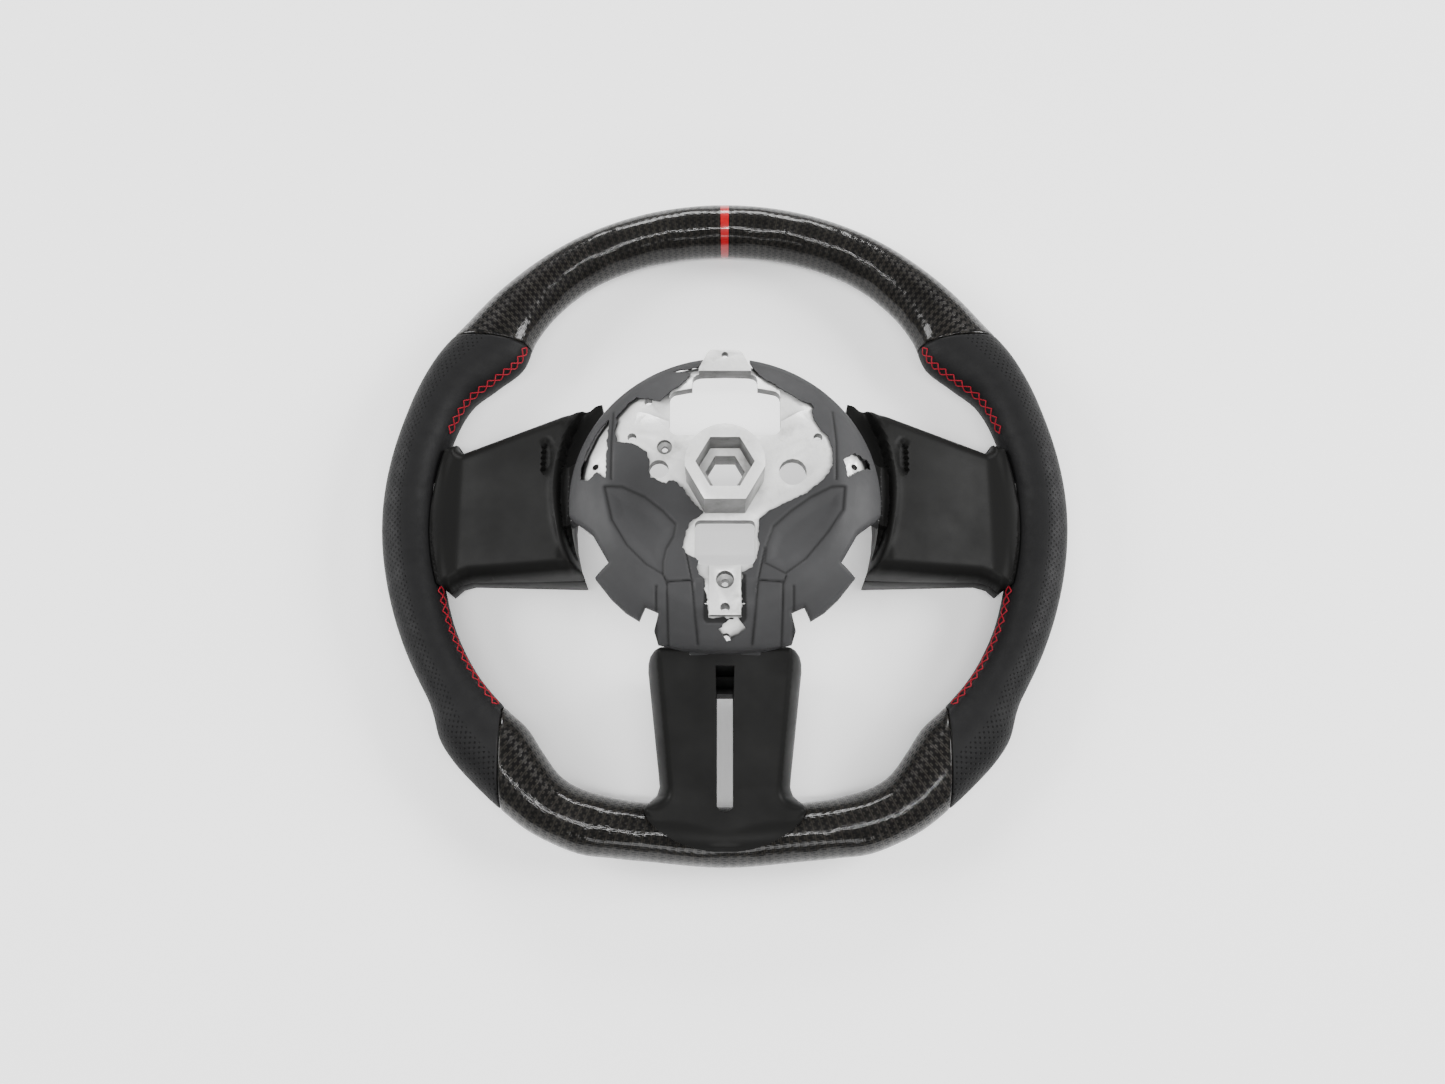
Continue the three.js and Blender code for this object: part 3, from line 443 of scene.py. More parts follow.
# Right half from the bottom round to the top: saddle edge, notches for the lower cover, the lower
# quarter, the notch under the side spoke, and the round of the disc.
skin_outline = both_sides([
    (6, -83.3), (20, -82), (32.4, -79), (34, -74), (31.6, -66.2), (38, -63.4), (41.2, -69),
    (48, -64.6), (55, -58), (63.2, -47.6), (55.9, -42), (64.2, -27.4), (73.6, -19),
    *arc((0, DISC_Y), DISC_RADIUS - 0.2, -5, 84, 26),
])
bare_area = np.array([
    (-26.6, 58.2), (-12.8, 60.4), (-10, 72), (12, 72), (13.4, 60.4), (18.6, 53.2), (25.4, 48.4),
    (31, 44.6), (37.4, 40.4), (43.4, 38.8), (43.4, 31.4), (46.6, 25), (50.8, 20.6), (53, 13.6),
    (52.6, 6), (48.6, -1.2), (40, -8), (21.4, -17.6), (16.6, -21.4), (15.6, -30.4), (16.6, -34.4),
    (15.2, -41), (13, -45.6), (8.4, -48.4), (8, -52), (7.9, -69.6), (-7.9, -69.6), (-8.2, -62),
    (-9.6, -56), (-10.2, -50.6), (-12.4, -49),
    (-13.2, -46), (-12.4, -42.4), (-17, -39.8), (-20.6, -36.4), (-19.4, -31.6), (-17, -23),
    (-12.6, -20.6), (-10.4, -18.6), (-16.6, -12), (-20, -6.6), (-24.6, -2), (-29.2, -3.2),
    (-36.2, -0.6), (-36.6, 6), (-38, 12.4), (-44, 16.2), (-52.6, 18.4), (-54.4, 23.6),
    (-53.6, 33.6), (-48.4, 39.8), (-44, 43.6), (-37, 41), (-32, 39.6), (-27.4, 44.4), (-21, 49.6),
    (-16.6, 56.2),
])
bare_patches = [
    [
        (-57.6, 33), (-64, 24.6), (-68.4, 16.4), (-71, 6), (-71, 1), (-67.4, -0.4), (-62.6, 3.4),
        (-58.2, -0.6),
    ],
    [(58.6, 9.6), (64, 13.8), (71.2, 11.4), (71.6, 6.8), (67, 5.6), (59.8, -0.2)],
    [(-3, -74.6), (5.2, -68.6), (10.6, -74.2), (1.2, -80.4)],
]
leaves = [
    np.array([
        (58.2, -5), (51.7, -5.4), (41.6, -10.6), (31.4, -18), (23.2, -25.6), (20, -34.1),
        (19, -43.4), (28.9, -48.6), (38.4, -41.6), (49.1, -28.6), (57, -16.6),
    ]),
    np.array([
        (-58.4, -5), (-49.8, -5.4), (-38.8, -10.6), (-30, -17.6), (-23.6, -24.6), (-24.6, -30),
        (-28, -36.2), (-29.4, -42.7), (-29.4, -49.2), (-37.5, -44.2), (-47, -34.6), (-54.4, -22.1),
    ]),
]
creases = [
    np.array([(27.5, -52.5), (27, -80.5)]), np.array([(15.8, -52.4), (13, -80.5)]),
    np.array([(32.6, -55), (32.7, -80)]), np.array([(15.7, -52), (28, -52.9)]),
    np.array([(29, -50), (27.6, -54)]), np.array([(19, -36), (17.4, -44), (15.8, -52)]),
]
creases += [line * (-1.0, 1.0) for line in creases]
creases += [
    np.array([(53.6, 36), (54.6, 18), (54, -1.5)]),
    np.array([(-55.4, 36), (-55.6, 18), (-55.2, -1.5)]),
]
pad_edge = np.array([(-8, -49), (-8, -69.8), (8, -69.8), (8, -49)])


def skin_lines(points):
    """How strongly a point lies in a crease, from 0 to 1: a bell curve of its distance to the
    nearest crease or leaf edge."""
    away = [edge_distance(points, leaf) for leaf in leaves]
    away += [edge_distance(points, line, False) for line in creases]
    return np.exp(-((np.min(away, axis=0) / CREASE_HALF) ** 2))


def pad_channel(points):
    """1 in the channel that runs round the pad's sides and lower end, and 0 elsewhere."""
    away = edge_distance(points, pad_edge, False)
    return (1.0 - eased(away, *CHANNEL_HALF)) * (points[:, 1] < pad_edge[0, 1])


def skin_top(x, y, to_edge):
    """The dome's height less its hollows: radius gives the dome by interpolation, smoothed over
    5 mm; each leaf sinks smoothly inside its outline; each crease is a narrow rounded groove."""
    radius = np.hypot(x, y - DISC_Y)
    drops = [np.interp(radius + shift, DOME_RADII, DOME_DROPS) for shift in SMOOTHING]
    height = SKIN_TOP - np.mean(drops, axis=0)
    points = np.column_stack([x, y])
    for leaf in leaves:
        away = edge_distance(points, leaf)
        sink = LEAF_STEP * eased(away, 0.0, 1.0) + (LEAF_DEPTH - LEAF_STEP) * eased(away, 0.5, 7.0)
        height -= np.where(inside(points, leaf), sink, 0.0)
    height -= CREASE_DEPTH * skin_lines(points)
    height -= LAP_DEPTH * (np.abs(x) < 14.5 + 0.05 * (y + 52)) * eased(-y, 51.0, 53.0)
    height -= CHANNEL_DEPTH * pad_channel(points)
    return height - EDGE_DROP * (1.0 - eased(to_edge, 0.0, EDGE_ROUND)) ** 2


def skin_bottom(x, y, to_edge):
    """A thin skin, thicker in a lip round the disc's edge, which becomes a deep skirt beside the
    side spokes and along the saddle over the lower spoke."""
    lip = 1.0 - eased(to_edge, *LIP_WIDTH)
    under = skin_top(x, y, to_edge) - SKIN_THICK - LIP_DEPTH * lip
    beside = (np.abs(x) > 30.0) & (y > -14.0) & (y < 40.0) & (to_edge < 3.0)
    over = (np.abs(x) < 33.0) & (y < -76.0) & (to_edge < 2.2)
    return np.where(beside, SKIRT_LOW, np.where(over, SADDLE_LOW, under))


skin_plastic = moulded_finish(
    "moulded_skin", (0.027, 0.027, 0.028), 0.55, 1500.0, 0.00005, 0.12
)
skin_holes = [resampled(bare_area, 0.7, wander=0.24, seed=4)]
for seed, patch in enumerate(bare_patches, start=7):
    skin_holes.append(resampled(np.array(patch), 0.6, wander=0.28, seed=seed))
skin = plan_solid(
    "moulded_hub_skin", resampled(skin_outline, 0.8), skin_holes, 0.8,
    skin_top, skin_bottom, skin_plastic, edge_band=0.0, sharp_deg=55.0,
)
# Painted shade: nearness to the creases, the leaf edges and the pad's channel is stored as the
# crease attribute, which darkens the skin's base colour.
skin_points = np.empty(len(skin.data.vertices) * 3, dtype=np.float32)
skin.data.vertices.foreach_get("co", skin_points)
skin_points = skin_points.reshape(-1, 3)[:, :2] / MM
crease_values = np.maximum(skin_lines(skin_points), pad_channel(skin_points))
crease_layer = skin.data.attributes.new("crease", "FLOAT", "POINT")
crease_layer.data.foreach_set("value", crease_values.astype(np.float32))
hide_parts("hub_skin")
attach(skin, "root")

# The skin also runs down over the neck of each arm and leg, where it shows beside the covers.
NECK_REACH, NECK_TOP = (-1.0, 7.6, 80.0), (58.0, 44.0, 23.0)
SIDE_NECK, LOWER_NECK = 71.8, 78.8
NECK_COAT, NECK_DEEP = 0.45, 12.0


def neck_top(x, y, to_edge):
    """Just above the arm or leg, by the distance out from its neck, with its long edges rounded."""
    out = np.where(np.abs(x) > 60.0, np.abs(x) - SIDE_NECK, -y - LOWER_NECK)
    rounding = 0.4 * (1.0 - eased(to_edge, 0.0, 1.0))
    return np.interp(out, NECK_REACH, NECK_TOP) + NECK_COAT - rounding


def neck_bottom(x, y, to_edge):
    """Deep inside the arm or leg."""
    return neck_top(x, y, to_edge) - NECK_DEEP


def box_plan(left, right, low, high):
    """A rectangle in plan."""
    return np.array([(left, low), (right, low), (right, high), (left, high)], dtype=float)


for name, plan in (
    ("skin_over_right_arm", box_plan(69.0, 90.0, -14.35, 14.35)),
    ("skin_over_left_arm", box_plan(-90.0, -69.0, -14.35, 14.35)),
    ("skin_over_right_leg", box_plan(7.65, 17.35, -87.0, -77.0)),
    ("skin_over_left_leg", box_plan(-17.35, -7.65, -87.0, -77.0)),
):
    neck = plan_solid(name, resampled(plan, 1.0), [], 1.5, neck_top, neck_bottom, skin_plastic)
    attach(neck, "root")

# ---- carbon shells -----------------------------------------------------------------------------
# The upper and lower rim are laid up in two-by-two twill over the foam and clear-coated, so the
# surface is glass-smooth and the brown-grey weave lies under it. Their ends roll in at the joints.
RIM_HALF_DEPTH = 16.0
RIM_MIDDLE, SECTION_MEAN = 165.0, 15.3
# Degrees from 12 o'clock, outer radius, inner radius.
RIM_STATIONS = np.array([
    (0, 179.8, 151.6), (26, 179.4, 151.7), (38, 178.4, 148), (46, 178, 143.2), (53, 178, 137.2),
    (60, 179.9, 142), (66, 180, 148.6), (74, 179.6, 151), (90, 180.4, 151.4), (106, 179.8, 151),
    (114, 179.8, 152.3), (123, 180.4, 152.9), (126, 182.2, 152.8), (130, 187, 152.3),
    (134, 188.7, 151.7), (139, 189.4, 151.4), (144, 190.3, 155.5), (149, 191.4, 160.2),
    (153, 191.1, 161), (158, 189.9, 159.2), (163, 186.2, 157), (170, 183, 154), (180, 182.5, 153),
])
TOP_JOINT_Y = 91.5
TOP_JOINT_SLOPE = 0.158
LOWER_JOINT_X = 111.6
JOINT_HALF_GAP = 0.2
BISECTIONS = 40
SLEEVE_WALL = 1.2
SLEEVE_INSET = 0.05
# How far a sleeve's surface sinks at these distances from its end.
END_ROLL = ((0.0, 1.0), (0.12, 0.55), (0.4, 0.22), (0.9, 0.05), (1.6, 0.0))


def rim_radius(theta, column):
    """Radius at an angle from 12 o'clock: a cubic between stations whose slope at each station is
    that of the chord between its neighbours, and level at 12 and 6 o'clock."""
    degrees = np.abs((np.degrees(theta) + 180.0) % 360.0 - 180.0)
    at, value = RIM_STATIONS[:, 0], RIM_STATIONS[:, column]
    slope = np.zeros(len(at))
    slope[1:-1] = (value[2:] - value[:-2]) / (at[2:] - at[:-2])
    k = np.clip(np.searchsorted(at, degrees) - 1, 0, len(at) - 2)
    span = at[k + 1] - at[k]
    t = (degrees - at[k]) / span
    return (
        value[k] * (2 * t**3 - 3 * t**2 + 1)
        + value[k + 1] * (3 * t**2 - 2 * t**3)
        + span * (slope[k] * (t**3 - 2 * t**2 + t) + slope[k + 1] * (t**3 - t**2))
    )


def rim_point(theta, around, out=0.0):
    """Point of the rim's surface: an ellipse round the middle of the section, half the section
    wide and half the depth high, pushed out along both axes by out."""
    outer, inner = rim_radius(theta, 1), rim_radius(theta, 2)
    reach = (outer + inner) / 2.0 + ((outer - inner) / 2.0 + out) * np.cos(around)
    height = RIM_HALF_DEPTH + (RIM_HALF_DEPTH + out) * np.sin(around)
    return np.stack([reach * np.sin(theta), reach * np.cos(theta), height + 0.0 * reach], -1)


def joint_angle(around, offset, low_deg, high_deg, line):
    """Angle from 12 o'clock at which the line round the section crosses a joint, by bisection."""
    low = np.full(around.shape, np.radians(low_deg))
    high = np.full(around.shape, np.radians(high_deg))
    for _ in range(BISECTIONS):
        middle = (low + high) / 2.0
        point = rim_point(middle, around)
        before = line(point) > offset
        low, high = np.where(before, middle, low), np.where(before, high, middle)
    return (low + high) / 2.0


def top_joint(around, offset):
    """The upper joint: a slightly sloping line across the rim at thumb-rest height."""

    def above(point):
        aside = np.abs(point[..., 0]) - 100.0
        return point[..., 1] - TOP_JOINT_Y - TOP_JOINT_SLOPE * aside

    return joint_angle(around, offset, 35.0, 75.0, above)


def lower_joint(around, offset):
    """The lower joint: a line parallel to the wheel's centre line."""
    return joint_angle(around, offset, 122.0, 165.0, lambda p: p[..., 0] - LOWER_JOINT_X)


def sleeve(name, start, end, steps, sides, material, relief=None):
    """A closed tube wall between two joint lines. Rings run from start to end on the outside, with
    rolled ends, and come back on the inside. The map measures mm along and mm round."""
    around = np.linspace(0.0, 2.0 * np.pi, sides + 1)
    first, last = start(around), end(around)
    roll_at = np.array([r[0] for r in END_ROLL])
    roll_in = np.array([r[1] for r in END_ROLL])
    share = np.linspace(0.0, 1.0, steps)
    edge = roll_at[-1] / RIM_MIDDLE
    rings = [first + reach / RIM_MIDDLE for reach in roll_at[:-1]]
    rings += [first + edge + (last - first - 2 * edge) * s for s in share]
    rings += [last - reach / RIM_MIDDLE for reach in roll_at[-2::-1]]
    rings += [first + (last - first) * s for s in share[::-1]]
    sink = np.concatenate([
        roll_in[:-1], np.zeros(steps), roll_in[-2::-1], np.full(steps, SLEEVE_WALL),
    ])
    theta = np.array(rings)
    turn = np.broadcast_to(around, theta.shape)
    out = -np.broadcast_to(sink[:, None], theta.shape) - SLEEVE_INSET
    if relief is not None:
        outside = np.arange(len(theta)) < len(theta) - steps
        out = out + relief(theta, turn) * outside[:, None]
    points = rim_point(theta, turn, out)
    i, j = np.meshgrid(np.arange(len(theta)), np.arange(sides), indexing="ij")
    after = (i + 1) % len(theta)
    corner_rows = np.stack([i, i, after, after], -1).reshape(-1, 4)
    corner_columns = np.stack([j, j + 1, j + 1, j], -1).reshape(-1, 4)
    faces = corner_rows * sides + corner_columns % sides
    uvs = np.stack([theta * RIM_MIDDLE, turn * SECTION_MEAN], -1)[corner_rows, corner_columns]
    return lay_mesh(name, points[:, :-1].reshape(-1, 3), faces, material, uvs, sharp_deg=60.0)


# Width of a tow along the rim and round it.
TOW_ALONG, TOW_ROUND = 1.0, 1.6
TOW_FALL = 3.4


def wrap_map(nodes, links):
    """The map that measures mm along the rim and mm round it: its UV output, its X and its Y."""
    uv = nodes.new("ShaderNodeUVMap")
    uv.uv_map = "wrap"
    split = nodes.new("ShaderNodeSeparateXYZ")
    links.new(uv.outputs["UV"], split.inputs["Vector"])
    return uv.outputs["UV"], split.outputs["X"], split.outputs["Y"]


def carbon_finish():
    """Twill under clear coat. The warp is on top in two columns of four, and every second row is
    shifted by one column. Each tow is rounded and carries fine fibre streaks. The warp tows are
    painted lighter than the weft and lightest at their crowns, a painted sheen over the weave's own
    pattern. The coat ripples."""
    material, shader = principled(
        "carbon_weave", (0.01, 0.009, 0.008), 0.4, 0.05, Specular_IOR_Level=0.06,
        Coat_Weight=0.6, Coat_Roughness=0.03, Coat_IOR=1.38,
    )
    nodes, links = material.node_tree.nodes, material.node_tree.links
    flat, far_along, far_round = wrap_map(nodes, links)
    along = math_of(nodes, links, "DIVIDE", far_along, TOW_ALONG)
    round_ = math_of(nodes, links, "DIVIDE", far_round, TOW_ROUND)
    column = math_of(nodes, links, "FLOOR", along)
    row = math_of(nodes, links, "FLOOR", round_)
    shift = math_of(nodes, links, "FLOORED_MODULO", row, 2.0)
    lane = math_of(nodes, links, "FLOORED_MODULO", math_of(nodes, links, "ADD", column, shift), 4.0)
    warp = math_of(nodes, links, "LESS_THAN", lane, 1.5)
    weft = math_of(nodes, links, "SUBTRACT", 1.0, warp)
    swell = []
    for part in (along, round_):
        middle = math_of(nodes, links, "SUBTRACT", math_of(nodes, links, "FRACT", part), 0.5)
        square = math_of(nodes, links, "MULTIPLY", middle, middle)
        fall = math_of(nodes, links, "MULTIPLY", square, TOW_FALL)
        swell.append(math_of(nodes, links, "SUBTRACT", 1.0, fall))
    height = math_of(
        nodes, links, "ADD",
        math_of(nodes, links, "MULTIPLY", swell[0], warp),
        math_of(nodes, links, "MULTIPLY", swell[1], weft),
    )
    stretch = nodes.new("ShaderNodeMapping")
    stretch.inputs["Scale"].default_value = (7.0, 0.5, 1.0)
    links.new(flat, stretch.inputs["Vector"])
    streaks = noise_of(nodes, links, stretch.outputs["Vector"], 1.0, 3.0, 0.6)
    clouds = noise_of(nodes, links, flat, 0.06, 3.0, 0.5)
    # The twill pattern is the weave's own. Its light and dark tows are painted sheen: the warp
    # takes the lighter colours, most at each tow's crown, and the weft the darker.
    dark_tow = [(0.3, (0.0015, 0.0015, 0.0015)), (0.7, (0.005, 0.0047, 0.0043))]
    painted_sheen_tow = [(0.3, (0.008, 0.0074, 0.0064)), (0.7, (0.03, 0.027, 0.023))]
    dark = ramp_of(nodes, links, streaks, dark_tow)
    light = ramp_of(nodes, links, streaks, painted_sheen_tow)
    weave = mix_of(nodes, links, math_of(nodes, links, "MULTIPLY", warp, height), dark, light)
    tone = ramp_of(nodes, links, clouds, [(0.35, (0.55,) * 3), (0.65, (1.0,) * 3)])
    links.new(mix_of(nodes, links, 1.0, weave, tone, "MULTIPLY"), shader.inputs["Base Color"])
    rough = math_of(nodes, links, "ADD", math_of(nodes, links, "MULTIPLY", weft, 0.18), 0.32)
    links.new(rough, shader.inputs["Roughness"])
    bump_of(nodes, links, shader, height, 0.00025, 0.6)
    ripple = noise_of(nodes, links, flat, 0.06, 1.0, 0.5)
    wavy = bump_of(nodes, links, shader, ripple, 0.0012, onto="Coat Normal")
    bump_of(nodes, links, shader, height, 0.00003, under=wavy, onto="Coat Normal")
    return material


carbon = carbon_finish()
carbon_shells = {
    "carbon_top": sleeve(
        "carbon_upper_shell",
        lambda v: -top_joint(v, JOINT_HALF_GAP), lambda v: top_joint(v, JOINT_HALF_GAP),
        170, 64, carbon,
    ),
    "carbon_bottom": sleeve(
        "carbon_lower_shell",
        lambda v: lower_joint(v, -JOINT_HALF_GAP),
        lambda v: 2.0 * np.pi - lower_joint(v, -JOINT_HALF_GAP),
        150, 64, carbon,
    ),
}
for node, shell in carbon_shells.items():
    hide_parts(node)
    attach(shell, "root")

# ---- centre stripe -----------------------------------------------------------------------------
# A red band under the same clear coat marks 12 o'clock. It is laid round the upper shell and its
# two edges are feathered down to the weave.
STRIPE_HALF_DEG = 0.79
STRIPE_SIDES = 64
# The band's section, as shares of its half width and distances out from the rim's surface.
STRIPE_ACROSS = (-1.0, -0.98, -0.5, 0.0, 0.5, 0.98, 1.0, 0.98, 0.0, -0.98)
STRIPE_OUT = (-0.3, 0.0, 0.0, 0.0, 0.0, 0.0, -0.3, -0.5, -0.5, -0.5)


def stripe_finish():
    """Red under gloss, with faint fine clouds in the colour and the bump."""
    material, shader = principled(
        "red_stripe", (0.4, 0.003, 0.008), 0.35, Specular_IOR_Level=0.2,
        Coat_Weight=0.7, Coat_Roughness=0.03,
    )
    nodes, links = material.node_tree.nodes, material.node_tree.links
    place = nodes.new("ShaderNodeTexCoord").outputs["Object"]
    cloud = noise_of(nodes, links, place, 350.0, 3.0)
    tone = [(0.3, (0.25, 0.001, 0.004)), (0.7, (0.36, 0.002, 0.007))]
    links.new(ramp_of(nodes, links, cloud, tone), shader.inputs["Base Color"])
    bump_of(nodes, links, shader, cloud, 0.0001, 0.3)
    return material


stripe_turn = np.linspace(0.0, 2.0 * np.pi, STRIPE_SIDES, endpoint=False)
stripe_theta = np.radians(STRIPE_HALF_DEG) * np.array(STRIPE_ACROSS)
stripe_points = rim_point(stripe_theta[:, None], stripe_turn, np.array(STRIPE_OUT)[:, None])
i, j = np.meshgrid(np.arange(len(STRIPE_OUT)), np.arange(STRIPE_SIDES), indexing="ij")
next_i, next_j = (i + 1) % len(STRIPE_OUT), (j + 1) % STRIPE_SIDES
stripe_faces = np.stack([i, i, next_i, next_i], -1) * STRIPE_SIDES
stripe_faces += np.stack([j, next_j, next_j, j], -1)
stripe = lay_mesh(
    "red_centre_band", stripe_points.reshape(-1, 3), stripe_faces.reshape(-1, 4), stripe_finish(),
)
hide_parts("centre_stripe")
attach(stripe, "root")

# ---- leather grips -----------------------------------------------------------------------------
# Each grip is one piece of black leather pulled round the foam. It is perforated over its outer
# and column side, plain towards the spokes, and its two edges meet under the stitching.
SEAM_TURN = np.radians(153.0)
HOLE_PITCH_MM = 3.2
HOLES_TO_DEG, HOLES_FROM_DEG = 84.0, 300.0


def leather_finish():
    """Fine pebble grain and, from a little under the outside to the middle of the column side,
    staggered punched holes."""
    material, shader = principled(
        "grip_leather", (0.007, 0.007, 0.0072), 0.55, Specular_IOR_Level=0.12,
    )
    nodes, links = material.node_tree.nodes, material.node_tree.links
    flat, far_along, girth = wrap_map(nodes, links)
    near = []
    for shift in (0.0, 0.5):
        squares = []
        for far in (far_along, girth):
            cell = math_of(nodes, links, "DIVIDE", far, HOLE_PITCH_MM)
            cell = math_of(nodes, links, "FRACT", math_of(nodes, links, "ADD", cell, shift))
            centred = math_of(nodes, links, "SUBTRACT", cell, 0.5)
            squares.append(math_of(nodes, links, "MULTIPLY", centred, centred))
        near.append(math_of(nodes, links, "SQRT", math_of(nodes, links, "ADD", *squares)))
    distance = math_of(nodes, links, "MINIMUM", *near)
    dots = ramp_of(nodes, links, distance, [(0.12, (1.0,) * 3), (0.19, (0.0,) * 3)])
    holes_to = float(np.radians(HOLES_TO_DEG)) * SECTION_MEAN
    holes_from = float(np.radians(HOLES_FROM_DEG)) * SECTION_MEAN
    band_low = math_of(nodes, links, "LESS_THAN", girth, holes_to)
    band_high = math_of(nodes, links, "GREATER_THAN", girth, holes_from)
    band = math_of(nodes, links, "MAXIMUM", band_low, band_high)
    punched = math_of(nodes, links, "MULTIPLY", dots, band)
    grain = nodes.new("ShaderNodeTexVoronoi")
    grain.inputs["Scale"].default_value = 1.5
    links.new(flat, grain.inputs["Vector"])
    clouds = noise_of(nodes, links, flat, 0.12, 4.0, 0.6)
    tone = [(0.3, (0.0055, 0.0055, 0.0058)), (0.7, (0.0085, 0.0085, 0.0088))]
    hide = ramp_of(nodes, links, clouds, tone)
    links.new(mix_of(nodes, links, punched, hide, (0.0002,) * 3), shader.inputs["Base Color"])
    rough = ramp_of(nodes, links, clouds, [(0.3, (0.62,) * 3), (0.7, (0.5,) * 3)])
    links.new(rough, shader.inputs["Roughness"])
    pebbles = bump_of(nodes, links, shader, grain.outputs["Distance"], 0.00012, 0.45)
    sunk = math_of(nodes, links, "SUBTRACT", 1.0, punched)
    bump_of(nodes, links, shader, sunk, 0.0005, 0.8, under=pebbles)
    return material


def leather_relief(theta, around):
    """A narrow valley along the seam, where the two edges of the leather are drawn together."""
    away = (around - SEAM_TURN) * RIM_HALF_DEPTH
    return -0.7 * np.exp(-((away / 0.8) ** 2)) - 0.25 * np.exp(-((away / 3.0) ** 2))


def mirrored_copy(piece, name):
    """The same piece on the other side of the wheel: X negated and each face turned round."""
    mesh = piece.data.copy()
    mesh.name = name
    coords = np.empty(len(mesh.vertices) * 3, dtype=np.float32)
    mesh.vertices.foreach_get("co", coords)
    coords[0::3] *= -1.0
    mesh.vertices.foreach_set("co", coords)
    mesh.flip_normals()
    mesh.update()
    return new_piece(name, mesh)


leather = leather_finish()
grip_right = sleeve(
    "leather_grip_right",
    lambda v: top_joint(v, -JOINT_HALF_GAP), lambda v: lower_joint(v, JOINT_HALF_GAP),
    200, 72, leather, leather_relief,
)
grip_left = mirrored_copy(grip_right, "leather_grip_left")
for grip, node in ((grip_right, "leather_right"), (grip_left, "leather_left")):
    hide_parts(node)
    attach(grip, "root")

# ---- stitching ---------------------------------------------------------------------------------
# Waxed red thread closes the leather along the inside of each grip, laced as two zigzags that
# cross on the seam. Four runs: above and below the spoke on each side.
THREAD_RADIUS = 0.3
THREAD_SIDES = 7
THREAD_STEP = 0.35
SEAM_REACH = 150.0
STITCH_PITCH = 5.3
STITCH_HALF_WIDTH = 2.6


def tube(path, radius, sides):
    """Points and faces of a round tube along a path: two vectors square to the path at each point
    carry a circle, and each end closes with one flat face."""
    along = np.gradient(path, axis=0)
    along /= np.linalg.norm(along, axis=1)[:, None]
    side = np.cross(along, (0.0, 0.0, 1.0))
    side /= np.linalg.norm(side, axis=1)[:, None]
    up = np.cross(side, along)
    angle = np.linspace(0.0, 2.0 * np.pi, sides, endpoint=False)[None, :, None]
    ring = np.cos(angle) * side[:, None] + np.sin(angle) * up[:, None]
    points = (path[:, None] + radius * ring).reshape(-1, 3)
    i, j = np.meshgrid(np.arange(len(path) - 1), np.arange(sides), indexing="ij")
    after = (j + 1) % sides
    quads = np.stack([i, i + 1, i + 1, i], -1) * sides + np.stack([j, j, after, after], -1)
    faces = quads.reshape(-1, 4).tolist()
    faces.append(list(range(sides)))
    faces.append(list(range(len(points) - 1, len(points) - 1 - sides, -1)))
    return points, faces


def laced_run(name, start_deg, end_deg, material):
    """Two zigzag threads. Their offset across the seam is a rounded triangle wave of the distance
    along it, and they rise over the seam and dip at each hole."""
    start, end = np.radians(start_deg), np.radians(end_deg)
    length = (end - start) * SEAM_REACH
    along = np.linspace(0.0, length, int(length / THREAD_STEP))
    theta = start + along / SEAM_REACH
    phase = np.pi * along / STITCH_PITCH
    half = (rim_radius(theta, 1) - rim_radius(theta, 2)) / 2.0
    points, faces = [], []
    for sign in (1.0, -1.0):
        wave = sign * np.arcsin(0.985 * np.sin(phase)) / (np.pi / 2.0)
        turn = SEAM_TURN + wave * STITCH_HALF_WIDTH / ((half + RIM_HALF_DEPTH) / 2.0)
        rise = 0.62 - 0.75 * np.abs(wave) ** 6 + 0.1 * sign * np.cos(phase)
        thread, around = tube(rim_point(theta, turn, rise), THREAD_RADIUS, THREAD_SIDES)
        faces += [[len(points) * len(thread) + k for k in face] for face in around]
        points.append(thread)
    return lay_mesh(name, np.vstack(points), faces, material, sharp_deg=180.0)


def thread_finish():
    """Twisted thread: slanting bands of lighter and darker red, with a soft waxy sheen."""
    material, shader = principled("red_thread", (0.3, 0.003, 0.012), 0.55, Specular_IOR_Level=0.2)
    nodes, links = material.node_tree.nodes, material.node_tree.links
    place = nodes.new("ShaderNodeTexCoord").outputs["Object"]
    twist = nodes.new("ShaderNodeTexWave")
    twist.bands_direction = "DIAGONAL"
    twist.inputs["Scale"].default_value = 700.0
    twist.inputs["Distortion"].default_value = 1.5
    links.new(place, twist.inputs["Vector"])
    tone = [(0.2, (0.14, 0.001, 0.007)), (0.8, (0.36, 0.003, 0.018))]
    links.new(ramp_of(nodes, links, twist.outputs["Fac"], tone), shader.inputs["Base Color"])
    bump_of(nodes, links, shader, twist.outputs["Fac"], 0.0002, 0.6)
    return material


red_thread = thread_finish()
STITCH_RUNS = {"upper": (49.6, 74.0), "lower": (106.0, 132.0)}
for height, (run_start, run_end) in STITCH_RUNS.items():
    run = laced_run(f"red_lacing_{height}_right", run_start, run_end, red_thread)
    twin = mirrored_copy(run, f"red_lacing_{height}_left")
    for piece, side in ((run, "right"), (twin, "left")):
        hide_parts(f"stitching_{height}_{side}")
        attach(piece, "root")

# ---- side spoke covers -------------------------------------------------------------------------
# Satin black moulded covers close the two side spokes. Each has rolled long edges, a raised lip
# and a groove beside the hub disc, and its outer end is bowed and sits on the grip.
spoke_plastic = moulded_finish(
    "spoke_plastic", (0.0062, 0.0062, 0.006), 0.44, 1100.0, 0.00003, 0.14, specular=0.06,
)
SIDE_LIP_Y, SIDE_LIP_RADIUS = 5.0, 85.4
LIP_HEIGHT, GROOVE_DEPTH, HOLLOW_DEPTH = 1.3, 5.5, 2.6
# Height of the side covers' middle line at these distances from the steering axis.
SIDE_REACH, SIDE_HEIGHT = (60.0, 84.0, 138.0, 158.0), (48.6, 47.2, 28.0, 26.4)
SIDE_CROWN, SIDE_HALF_WIDTH = 1.6, 46.0
SIDE_EDGE_ROLL = 7.0


